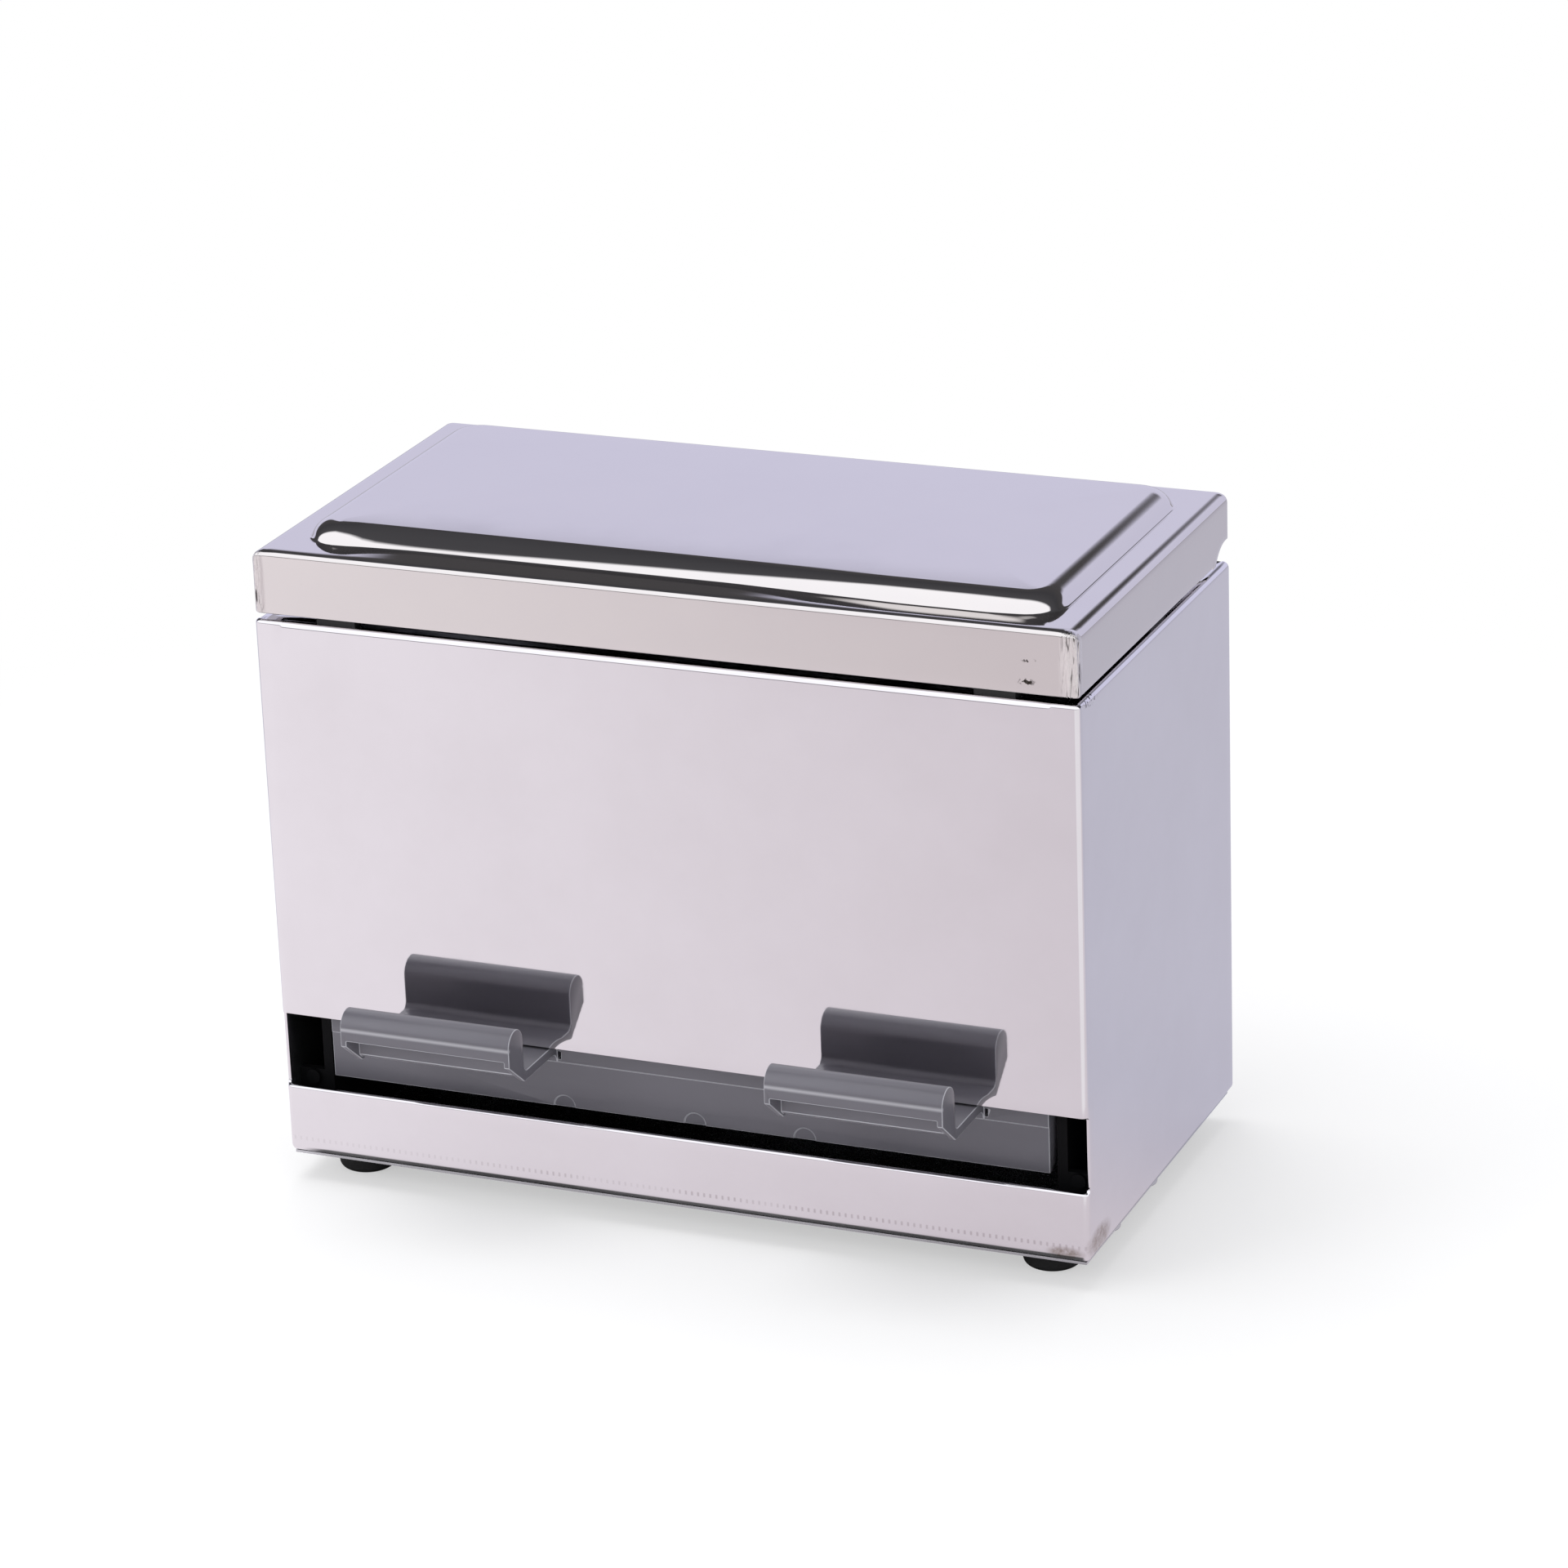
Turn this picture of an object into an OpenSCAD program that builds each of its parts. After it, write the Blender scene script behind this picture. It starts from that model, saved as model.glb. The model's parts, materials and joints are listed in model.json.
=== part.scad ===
// Counter-top straw dispenser: a sheet-steel box with a hinged lid and a pocket
// rocker that lets one straw at a time roll out on to two hooks.
// Millimetres. +X to the right, +Y to the rear, +Z up. The origin is under the
// middle of the whole part, on the surface that the feet stand on.
// Inside the modules y = 0 is the outer face of the front panel and z = 0 the
// lower edge of the body; place() moves that frame to the part's own origin.

/* [Body] */
// Width of the body over its side walls
body_w = 250; // [242:1:262]
// Depth of the body from the front panel to the rear returns
body_d = 129.4; // [122:0.2:138]
// Height of the body from its lower edge to its top rim
body_h = 166; // [156:1:180]
// Thickness of the body sheet
sheet = 0.8; // [0.6:0.1:1]
// Outer radius of the bends along the edges of the body
bend_r = 2; // [1.5:0.1:2.4]
// Width of the rim turned in round the top opening
rim_w = 6; // [5:0.5:8]
// Width of the flanges turned in along the lower edge
foot_flange_w = 12; // [11:0.5:12.5]
// Distance from the rear returns in to the rear panel
rear_recess = 3.2; // [3:0.1:4]
// Height of the strip under the slot
strip_h = 21.3; // [19:0.1:23]
// Height of the slot
slot_h = 23; // [21:0.5:25]

/* [Lid] */
// Thickness of the lid sheet
lid_sheet = 0.7; // [0.5:0.1:0.8]
// Distance of the lid's sides from the faces of the body
lid_inset = 0.35; // [0.2:0.05:0.6]
// Gap between the top rim and the lower edge of the lid's skirt
lid_gap = 1.8; // [1.6:0.1:3]
// Height of the lid's skirt
skirt_h = 19; // [16:0.1:21]
// Radius of the front and rear bends of the lid
lid_front_r = 1.3; // [1:0.1:2]
// Radius of the side bends of the lid
lid_side_r = 2.4; // [1.5:0.1:3]
// Width of the lip turned in under the skirt
skirt_lip_w = 5.5; // [4:0.5:7]
// Height of the skirt that is cut away at the rear for the hinge
rear_relief = 5.3; // [5:0.1:6]
// Radius of the round notch at the rear of each side skirt
notch_r = 10.5; // [8:0.5:12]
// Distance from the edge of the lid to the foot of its raised panel
emboss_inset = 10; // [8:0.5:14]
// Height of the raised panel
emboss_h = 5.8; // [4:0.1:7]
// Width of the rounded slope round the raised panel
emboss_run = 8; // [6:0.5:10]
// Corner radius at the foot of the raised panel
emboss_foot_r = 11; // [10:0.5:14]
// Corner radius of the flat top of the raised panel
emboss_top_r = 4.5; // [3:0.5:6]

/* [Hinge] */
// Length of the lid hinge
hinge_len = 200; // [180:2:212]
// Number of knuckles along the hinge
hinge_knuckles = 9; // [5:2:13]
// Outer radius of the knuckles
knuckle_r = 2.2; // [2.1:0.05:2.3]
// Thickness of the hinge leaves
leaf_t = 0.9; // [0.8:0.05:0.95]
// Radius of the hinge pin
pin_r = 1.2; // [1:0.05:1.2]
// Depth of the leaf on the rim
rim_leaf_w = 17; // [15:0.5:19]
// Height of the leaf on the lid
lid_leaf_h = 13.5; // [12:0.5:14.5]
// Number of rivets in each leaf
rivets = 5; // [3:1:7]
// Radius of the rivet shanks
rivet_r = 1.5; // [1.2:0.1:1.7]

/* [Hopper] */
// Diameter of the straws that the pocket is made for
straw_d = 8; // [7:0.5:9]
// Play of a straw in the pocket, from front to rear
pocket_play = 2.2; // [1.6:0.1:2.6]
// Depth of the pocket from its mouth to its floor
pocket_h = 13; // [12:0.5:14]
// Gap between the drum face of the rocker and the ramp
drum_gap = 0.8; // [0.5:0.1:1.2]
// Length of the steep lower lip of the ramp
ramp_lip = 16; // [13:0.5:20]
// Slope of the ramp, in degrees
ramp_angle = 28; // [25:1:31]
// Depth of the ears that the ramp is fixed by
ramp_ear = 9; // [7:0.5:12]

/* [Rocker] */
// Distance from the front panel back to the face of the plate
plate_recess = 6; // [5:0.1:7]
// Thickness of the plate
plate_t = 2.4; // [2:0.1:3]
// Height of the lower edge of the plate above the strip
plate_rise = 2.2; // [1.5:0.1:3]
// Distance from each side of the body to the end of the rocker
rocker_end = 13.35; // [13.2:0.05:14]
// Distance from the upper edge of the slot down to the hook floors
slot_head = 0.8; // [0.6:0.1:1.2]
// Thickness of the hook floors
floor_t = 3; // [2.6:0.1:3.4]
// Thickness of the ribs, pocket wall and drum face
rib_t = 2.2; // [2:0.1:2.6]
// Width of each hook
hook_w = 53.2; // [46:0.2:60]
// Distance from the middle of the rocker to the middle of each hook
hook_mid = 65.65; // [60:0.05:70]
// Distance from the front panel to the face of the hooks
hook_reach = 25.8; // [24:0.1:29]
// Height of the hook lips above their floors
hook_lip = 14.8; // [12:0.1:17]
// Thickness of the hook lips
lip_t = 9.6; // [8:0.1:10.4]
// Wall left round the hollow in each lip
lip_wall = 1.7; // [1.4:0.1:2]
// Distance from the front panel back to the axle
pivot_back = 40; // [38:0.5:42]
// Distance from the hook floors down to the axle
pivot_drop = 11.5; // [10.5:0.5:12.5]
// Travel of the hooks, in degrees
press_angle = 15; // [12:1:16]
// Radius of the hubs
hub_r = 6.5; // [5.5:0.5:7]

/* [Axle and brackets] */
// Radius of the axle
axle_r = 2.5; // [2:0.1:2.6]
// Running clearance of the axle in its bushes
axle_gap = 0.05; // [0.03:0.01:0.08]
// Wall of the bushes
bush_wall = 1; // [0.8:0.1:1.1]
// Thickness of the bush flanges
bush_flange_t = 1.1; // [0.8:0.1:1.3]
// Thickness of the bracket cheeks
cheek_t = 3; // [2.5:0.1:3.2]
// Length of the bearing boss on each cheek
boss_l = 5; // [4.6:0.1:5.2]
// Radius of the stop studs
stud_r = 2; // [1.6:0.1:2.2]
// Distance from the axle to the stop studs
stud_arm = 13; // [12.5:0.1:13.5]
// Wall of the rubber sleeve on each stop stud
sleeve_wall = 1; // [0.8:0.1:1.2]
// Wire diameter of the return springs
wire_d = 1; // [0.8:0.1:1.1]
// Gap between the spring coils and the boss
coil_gap = 0.4; // [0.3:0.05:0.6]
// Height of the front wall of each bracket above its foot
guard_h = 23; // [18:0.5:24]
// Radius of the screws that hold the brackets
bracket_screw_r = 1.7; // [1.4:0.1:1.8]

/* [Feet] */
// Height of the feet under the base panel
foot_h = 8.2; // [7:0.1:10]
// Radius of the feet at the top
foot_r = 9.6; // [9:0.1:10]
// Distance from the sides of the body to the middle of the feet
foot_inset = 17; // [17:0.1:18]
// Radius of the foot screws
foot_screw_r = 2; // [1.7:0.1:2]

/* [Hidden] */
$fn = 64;
eps = 0.01;
fit_gap = 0.02;       // play between a pressed pin or thread and its hole
seat_gap = 0.2;       // play where the lid rests and where parts pass each other
bore_gap = 0.2;       // radial play of screws and rivets in sheet holes
run_gap = 0.4;        // side play of the moving pieces

// levels and faces worked out from the driving sizes
slot_top = strip_h + slot_h;
floor_z = slot_top - slot_head;
plate_low = strip_h + plate_rise;
half_w = body_w / 2;
wall_x = half_w - sheet;                    // inner face of the side walls
rocker_x = half_w - rocker_end;             // end of the rocker
rear_y = body_d - rear_recess;              // outer face of the rear panel
inner_rear_y = rear_y - sheet;
mid_y = (body_d - hook_reach) / 2;
base_t = sheet;
stand_h = foot_h + base_t;
base_margin = 1.2;
rear_flange = 12;                           // forward flanges of the rear panel
rear_rim_w = rim_leaf_w + 5;

// lid
lid_w = body_w - 2 * lid_inset;
lid_front = lid_inset;
lid_back = body_d - lid_inset;
skirt_low = body_h + lid_gap;
lid_top = skirt_low + skirt_h;
lid_corner_r = 1.4;
emboss_steps = 8;
corner_steps = 6;

// hinge
hinge_y = lid_back - lid_sheet - knuckle_r;
hinge_z = body_h + knuckle_r;
knuckle_gap = 0.3;
knuckle_pitch = hinge_len / hinge_knuckles;
pin_gap = 0.05;

// rocker: the pocket's rear wall meets the drum face at the mouth
pocket_y = sheet + straw_d + pocket_play;
mouth_z = floor_z + pocket_h;
pivot_z = floor_z - pivot_drop;
drum_r = norm([pocket_y - pivot_back, mouth_z - pivot_z]);
mouth_angle = atan2(mouth_z - pivot_z, pocket_y - pivot_back);
drum_span = press_angle + 7;
floor_y = -hook_reach + lip_t;              // foot of the lip's inner face
rib_places = [rocker_x - rib_t, hook_mid + hook_w / 2 - rib_t, hook_mid - hook_w / 2];
step_proud = 0.25;     // step of the plate's upper part
lip_fillet = 2.2;
chin_rise = 4.8;       // height of the lower front edge of the lip's ends above the floor
face_rise = 6.5;       // height of the lower edge of the lip's face above the floor
hook_floor_t = 1.8;    // floor of the hook between its end ribs
eject_x = [-37.5, 3.5, 37.5];
eject_r = 3.3;         // round marks of the mould along the lower edge of the plate
eject_deep = 0.25;
step_z = floor_z - 6;
slit_w = 1;
slit_h = 2.4;

// axle stack, from the end of the rocker outwards
flange_x = rocker_x + run_gap;
cheek_x = flange_x + bush_flange_t;
boss_x = cheek_x + cheek_t;
boss_end = boss_x + boss_l;
bush_r = axle_r + axle_gap + bush_wall;
boss_r = bush_r + 1;
clip_x = boss_end + 0.2;
clip_t = 0.7;
clip_r = axle_r + 2;
clip_mouth = 0.3;      // how much the clip's opening is narrower than its groove, each side
groove_r = axle_r - 0.5;
axle_end = clip_x + clip_t + 0.6;
coil_r = boss_r + coil_gap + wire_d / 2;
coil_turns = 3;       // whole turns between the two legs
leg_over = 1.25;      // length of a leg over its distance to its rest
coil_pitch = wire_d + 0.1;
coil_x = boss_x + 0.25 + wire_d / 2;
stud_end = coil_x + (coil_turns + 0.5) * coil_pitch + wire_d / 2;
stud_low = -press_angle / 2;
sleeve_r = stud_r + sleeve_wall;
track_r = sleeve_r + 0.3;
track_relief = 0.05;
peg_r = 1.6;
peg_at = [pivot_back, pivot_z] - [12.5, 8.5];
locator_r = 2.2;       // round stud on the front wall of each bracket
locator_l = 1.2;
foot_plate_t = 3;
foot_plate_y = [8.2, 70];
bracket_low = sheet;
cheek_top = floor_z + 2; // the cheeks hide the ends of the rocker from the front
screw_boss_r = bracket_screw_r + 1.8;
screw_boss_h = 9;
bracket_screws_y = [30, 62];
bracket_screw_x = wall_x - screw_boss_r - 0.3;

// feet
foot_x = half_w - foot_inset;
foot_places = [for (x = [-foot_x, foot_x], y = [foot_inset, rear_y - foot_inset]) [x, y]];
foot_web = 4.2;       // rubber under the head of the foot screw
foot_taper = 1;
foot_edge = 2.2;
nut_h = 3;
nut_r = 2 * foot_screw_r + 0.04;

// ---------- helpers ----------

// Moves the body frame to the part's own origin.
module place() translate([0, -mid_y, stand_h]) children();

// Extrudes a drawing of y and z from x0 to x1.
module along_x(x0, x1) translate([x0, 0, 0]) rotate([90, 0, 90]) linear_extrude(x1 - x0) children();

// Extrudes a drawing of x and z from y0 to y1.
module along_y(y0, y1) translate([0, y1, 0]) rotate([90, 0, 0]) linear_extrude(y1 - y0) children();

// A copy on each side of the middle.
module both_sides() {
    children();
    mirror([1, 0, 0]) children();
}

// Fills or cuts one square corner: what lies outside a circle of radius r.
module corner_waste(at, turn, r) translate(at) rotate(turn) difference() {
    translate([-eps, -eps]) square(r + eps);
    translate([r, r]) circle(r);
}

// A rectangle from a to b with its corners rounded, listed from lower left anticlockwise.
module rounded_rect(a, b, radii) difference() {
    translate(a) square(b - a);
    corner_waste(a, 0, radii[0]);
    corner_waste([b[0], a[1]], 90, radii[1]);
    corner_waste(b, 180, radii[2]);
    corner_waste([a[0], b[1]], 270, radii[3]);
}

// A closed box from a to b whose faces meet in mitred round bends. Its radii are those of the
// lower edges, the side top edges, the front top edge, the rear top edge and the upright edges.
module bent_box(a, b, low_r, side_r, front_r, back_r, upright_r) intersection() {
    along_y(a[1] - 1, b[1] + 1) rounded_rect([a[0], a[2]], [b[0], b[2]],
        [low_r, low_r, side_r, side_r]);
    along_x(a[0] - 1, b[0] + 1) rounded_rect([a[1], a[2]], [b[1], b[2]],
        [low_r, low_r, back_r, front_r]);
    translate([0, 0, a[2] - 1]) linear_extrude(b[2] - a[2] + 2)
        rounded_rect([a[0], a[1]], [b[0], b[1]], [for (i = [0:3]) upright_r]);
}

// Points of a rectangle with round corners, w by d about the origin, at height z.
function round_ring(w, d, r, z) = [for (q = [0:3], i = [0:corner_steps])
    let (a = 90 * q + 90 * i / corner_steps,
         sx = (q == 0 || q == 3) ? 1 : -1,
         sy = q < 2 ? 1 : -1)
    [sx * (w / 2 - r) + r * cos(a), sy * (d / 2 - r) + r * sin(a), z]];

// A solid through rings of equal point counts, closed at both ends.
module loft(rings) {
    n = len(rings[0]);
    m = len(rings);
    sides = [for (k = [0:m - 2], i = [0:n - 1])
        let (a = k * n + i, b = k * n + (i + 1) % n)
        each [[a, b + n, b], [a, a + n, b + n]]];
    polyhedron([for (ring = rings) each ring],
        concat([[for (i = [0:n - 1]) i]], sides, [[for (i = [n - 1:-1:0]) (m - 1) * n + i]]));
}

// A tube of six sides along a list of points.
module wire(points, r) {
    n = len(points);
    rings = [for (k = [0:n - 1])
        let (before = points[max(k - 1, 0)],
             after = points[min(k + 1, n - 1)],
             t = (after - before) / norm(after - before),
             side = cross(t, [1, 0, 0]),
             u = side / norm(side),
             v = cross(t, u))
        [for (i = [0:5]) points[k] + r * (cos(60 * i) * u - sin(60 * i) * v)]];
    loft(rings);
}

// A headed pin along +Z with its head below z = 0: a round-edged pan head and a plain shank.
module pan_screw(shank_r, shank_l, head_r, head_h) {
    edge = 0.6 * head_h;
    cylinder(r = shank_r, h = shank_l);
    translate([0, 0, -head_h]) rotate_extrude() difference() {
        square([head_r, head_h]);
        corner_waste([head_r, 0], 90, edge);
    }
}

// Positions along the hinge that avoid its ends.
function rivet_x(i) = hinge_len * ((i + 0.5) / rivets - 0.5);

// ---------- box ----------

module body_shell() color("gainsboro") place() difference() {
    in_r = bend_r - sheet;
    bent_box([-half_w, 0, 0], [half_w, body_d, body_h], bend_r, bend_r, bend_r, bend_r, bend_r);
    bent_box([-wall_x, sheet, sheet], [wall_x, body_d - sheet, body_h - sheet],
        in_r, in_r, in_r, in_r, in_r);
    // opening inside the top rim, carried down the rear between the returns
    translate([-half_w + rim_w, rim_w, body_h / 2]) cube([body_w - 2 * rim_w, body_d, body_h]);
    translate([-half_w + rim_w, rear_y, -1]) cube([body_w - 2 * rim_w, body_d, body_h]);
    // opening inside the flanges along the lower edge
    translate([-half_w + foot_flange_w, foot_flange_w, -1])
        cube([body_w - 2 * foot_flange_w, body_d, sheet + 2]);
    // slot across the whole front
    translate([-half_w - 1, -1, strip_h]) cube([body_w + 2, bend_r + 1, slot_h]);
    both_sides() for (y = bracket_screws_y)
        translate([bracket_screw_x, y, -1]) cylinder(r = bracket_screw_r + bore_gap, h = sheet + 2);
}

module rear_panel() color("silver") place() {
    rim_half = half_w - rim_w - seat_gap;
    flange_half = half_w - foot_flange_w - seat_gap;
    // sheet with its upper edge bent forward as the rear rim
    difference() {
        along_x(-rim_half, rim_half) difference() {
            rounded_rect([rear_y - rear_rim_w, 2 * sheet], [rear_y, body_h], [eps, eps, bend_r, eps]);
            rounded_rect([rear_y - rear_rim_w - 1, -1], [inner_rear_y, body_h - sheet],
                [eps, eps, bend_r - sheet, eps]);
        }
        for (i = [0:rivets - 1]) translate([rivet_x(i), hinge_y - rim_leaf_w / 2, body_h - sheet - 1])
            cylinder(r = rivet_r + fit_gap, h = sheet + 2);
    }
    // side flanges, which stop short of the bends of the body
    both_sides() {
        translate([rim_half - eps, inner_rear_y, bend_r + sheet])
            cube([wall_x - rim_half + eps, sheet, body_h - 2 * (bend_r + sheet)]);
        translate([wall_x - sheet, rear_y - rear_flange, bend_r + sheet])
            cube([sheet, rear_flange, body_h - 2 * (bend_r + sheet)]);
    }
    // lower flange between those of the side walls
    along_x(-flange_half, flange_half) difference() {
        rounded_rect([rear_y - rear_flange, 0], [rear_y, 2 * bend_r], [eps, bend_r, eps, eps]);
        rounded_rect([rear_y - rear_flange - 1, sheet], [inner_rear_y, 2 * bend_r + 1],
            [eps, bend_r - sheet, eps, eps]);
    }
}

module base_panel() color("silver") place() difference() {
    translate([-half_w + base_margin, base_margin, -base_t])
        cube([body_w - 2 * base_margin, rear_y - base_margin, base_t]);
    for (p = foot_places)
        translate([p[0], p[1], -base_t - 1]) cylinder(r = foot_screw_r + bore_gap, h = base_t + 2);
    both_sides() for (y = bracket_screws_y) translate([bracket_screw_x, y, -base_t - 1])
        cylinder(r = bracket_screw_r + bore_gap, h = base_t + 2);
}

// Outline of the ramp: a steep lip square to the drum face, a slope and a rear flange.
module ramp_outline() {
    lip_turn = mouth_angle - 90;
    lip_foot = [pivot_back, pivot_z] + (drum_r + drum_gap) * [cos(mouth_angle), sin(mouth_angle)];
    knee = lip_foot + ramp_lip * [cos(lip_turn), sin(lip_turn)];
    run = inner_rear_y - knee[0];
    top = [inner_rear_y, knee[1] + run * tan(ramp_angle)];
    lip_n = sheet * [-sin(lip_turn), cos(lip_turn)];
    slope_n = sheet / cos(ramp_angle);
    knee_up = knee + sheet * [-sin((lip_turn + ramp_angle) / 2), cos((lip_turn + ramp_angle) / 2)]
        / cos((lip_turn - ramp_angle) / 2);
    polygon([lip_foot, knee, top, top + [0, rear_flange], top + [-sheet, rear_flange],
        top + [-sheet, slope_n - sheet * tan(ramp_angle)], knee_up, lip_foot + lip_n]);
}

// Ear that hangs from the edge of the ramp.
module ramp_ear_outline() {
    lip_turn = mouth_angle - 90;
    lip_foot = [pivot_back, pivot_z] + (drum_r + drum_gap) * [cos(mouth_angle), sin(mouth_angle)];
    knee = lip_foot + ramp_lip * [cos(lip_turn), sin(lip_turn)];
    ear_back = rear_y - rear_flange - seat_gap - 1;
    back = [ear_back, knee[1] + (ear_back - knee[0]) * tan(ramp_angle)];
    polygon([knee + [0, 0.2], back + [0, 0.2], back - [0, ramp_ear], knee + [4, -ramp_ear / 2]]);
}

module hopper_ramp() color("silver") place() {
    difference() {
        along_x(-wall_x + eps, wall_x - eps) ramp_outline();
        both_sides() translate([wall_x - sheet - seat_gap, rear_y - rear_flange - seat_gap, 0])
            cube([sheet + seat_gap + 1, rear_flange + 1, body_h]);
    }
    both_sides() along_x(wall_x - sheet, wall_x - eps) ramp_ear_outline();
}

// ---------- lid ----------

// Raised panel of the lid, as a solid from below its foot to its flat top.
module emboss(inset, drop) {
    w = lid_w - 2 * emboss_inset;
    d = lid_back - lid_front - 2 * emboss_inset;
    rings = [for (i = [0:emboss_steps])
        let (t = i / emboss_steps,
             in = emboss_run * t + inset,
             r = emboss_foot_r + (emboss_top_r - emboss_foot_r) * t)
        round_ring(w - 2 * in, d - 2 * in, r - inset / 2, emboss_h * sin(90 * t) - drop)];
    foot = [for (p = rings[0]) [p[0], p[1], -lid_sheet - (drop > 0 ? 1 : -0.3)]];
    translate([0, (lid_front + lid_back) / 2, lid_top]) loft(concat([foot], rings));
}

module lid_shell() color("gainsboro") place() {
    in_x = lid_w / 2 - lid_sheet;
    difference() {
        union() {
            bent_box([-lid_w / 2, lid_front, skirt_low], [lid_w / 2, lid_back, lid_top],
                eps, lid_side_r, lid_front_r, lid_front_r, lid_corner_r);
            emboss(0, 0);
        }
        bent_box([-in_x, lid_front + lid_sheet, skirt_low - 1],
            [in_x, lid_back - lid_sheet, lid_top - lid_sheet], eps, lid_side_r - lid_sheet,
            lid_front_r - lid_sheet, lid_front_r - lid_sheet, lid_corner_r - lid_sheet);
        emboss(lid_sheet * 0.6, lid_sheet);
        // relief for the hinge: the rear skirt is short and each side skirt has a round notch
        translate([-half_w, hinge_y, skirt_low - 1]) cube([body_w, lid_back, rear_relief + 1]);
        translate([0, hinge_y, skirt_low + rear_relief - notch_r]) rotate([0, 90, 0])
            cylinder(r = notch_r, h = body_w + 2, center = true);
        for (i = [0:rivets - 1]) translate([rivet_x(i), lid_back + 1, hinge_z + lid_leaf_h * 0.7])
            rotate([90, 0, 0]) cylinder(r = rivet_r + fit_gap, h = lid_sheet + 2);
    }
    // lip under the front and side skirts
    lip_back = hinge_y - notch_r - 1;
    translate([-lid_w / 2 + lid_sheet / 2, lid_front + lid_sheet / 2, skirt_low])
        cube([lid_w - lid_sheet, skirt_lip_w, lid_sheet]);
    both_sides() translate([lid_w / 2 - skirt_lip_w - lid_sheet / 2, lid_front + lid_sheet / 2, skirt_low])
        cube([skirt_lip_w, lip_back - lid_front, lid_sheet]);
}

module lid_bumpers() color("black") place() {
    pad = [12, rim_w - bend_r, lid_gap - seat_gap];
    both_sides() {
        translate([half_w * 0.75, bend_r, body_h]) cube(pad);
        translate([half_w - rim_w, body_d / 2, body_h]) cube([pad[1], pad[0], pad[2]]);
    }
}

// A run of knuckles, every second one from the first given.
module knuckles(first, bore_r) for (i = [first:2:hinge_knuckles - 1]) {
    x0 = -hinge_len / 2 + i * knuckle_pitch + knuckle_gap / 2;
    along_x(x0, x0 + knuckle_pitch - knuckle_gap) translate([hinge_y, hinge_z]) difference() {
        children();
        circle(bore_r);
    }
}

module hinge_rim_leaf() color("lightgray") place() {
    difference() {
        translate([-hinge_len / 2, hinge_y - rim_leaf_w, body_h])
            cube([hinge_len, rim_leaf_w - knuckle_r - knuckle_gap, leaf_t]);
        for (i = [0:rivets - 1]) translate([rivet_x(i), hinge_y - rim_leaf_w / 2, body_h - 1])
            cylinder(r = rivet_r + fit_gap, h = leaf_t + 2);
    }
    knuckles(0, pin_r + fit_gap) {
        circle(knuckle_r);
        translate([-knuckle_r - knuckle_gap - eps, -knuckle_r]) square([knuckle_r + knuckle_gap + eps, leaf_t]);
    }
}

module hinge_lid_leaf() color("lightgray") place() {
    leaf_y = lid_back - lid_sheet - leaf_t;
    difference() {
        translate([-hinge_len / 2, leaf_y, hinge_z + knuckle_r + knuckle_gap])
            cube([hinge_len, leaf_t, lid_leaf_h - knuckle_r - knuckle_gap]);
        for (i = [0:rivets - 1]) translate([rivet_x(i), lid_back, hinge_z + lid_leaf_h * 0.7])
            rotate([90, 0, 0]) cylinder(r = rivet_r + fit_gap, h = 4);
    }
    knuckles(1, pin_r + pin_gap) {
        circle(knuckle_r);
        translate([knuckle_r - leaf_t, 0]) square([leaf_t, knuckle_r + knuckle_gap + eps]);
    }
}

module hinge_pin() color("silver") place()
    translate([-hinge_len / 2, hinge_y, hinge_z]) rotate([0, 90, 0]) cylinder(r = pin_r, h = hinge_len);

module rim_leaf_rivets() color("silver") place() for (i = [0:rivets - 1])
    translate([rivet_x(i), hinge_y - rim_leaf_w / 2, body_h + leaf_t]) mirror([0, 0, 1])
        pan_screw(rivet_r, leaf_t + sheet + 0.6, rivet_r * 1.8, 1);

module lid_leaf_rivets() color("silver") place() for (i = [0:rivets - 1])
    translate([rivet_x(i), lid_back - lid_sheet - leaf_t, hinge_z + lid_leaf_h * 0.7])
        rotate([-90, 0, 0]) pan_screw(rivet_r, leaf_t + lid_sheet, rivet_r * 1.8, 1);

// ---------- rocker ----------

// A wedge of the plane about the axle, from angle a0 to a1.
module sector(r, a0, a1) {
    far = 1.5 * r;
    mid = (a0 + a1) / 2;
    polygon([[0, 0], far * [cos(a0), sin(a0)], far * [cos(mid), sin(mid)], far * [cos(a1), sin(a1)]]);
}

// Turns a drawing of y and z about the axle to where the stop studs rest.
module at_stud_low() translate([pivot_back, pivot_z]) rotate(stud_low) children();

// Cross-section of the trough that runs the whole length of the rocker.
module trough_outline() {
    translate([plate_recess, plate_low]) square([plate_t, floor_z - plate_low]);
    translate([plate_recess - step_proud, step_z]) square([plate_t, floor_z - step_z]);
    translate([plate_recess - step_proud, floor_z - floor_t])
        square([pocket_y + rib_t - plate_recess + step_proud, floor_t]);
    // rear wall of the pocket and the drum face, which closes the mouth while the pocket is away
    intersection() {
        translate([pocket_y, floor_z - floor_t]) square(2 * drum_r);
        translate([pivot_back, pivot_z]) circle(drum_r);
        union() {
            translate([pocket_y - rib_t, floor_z - floor_t]) square([2 * rib_t, drum_r]);
            translate([pivot_back, pivot_z]) difference() {
                sector(drum_r, mouth_angle - drum_span, mouth_angle + 5);
                circle(drum_r - rib_t);
            }
        }
    }
}

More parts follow.
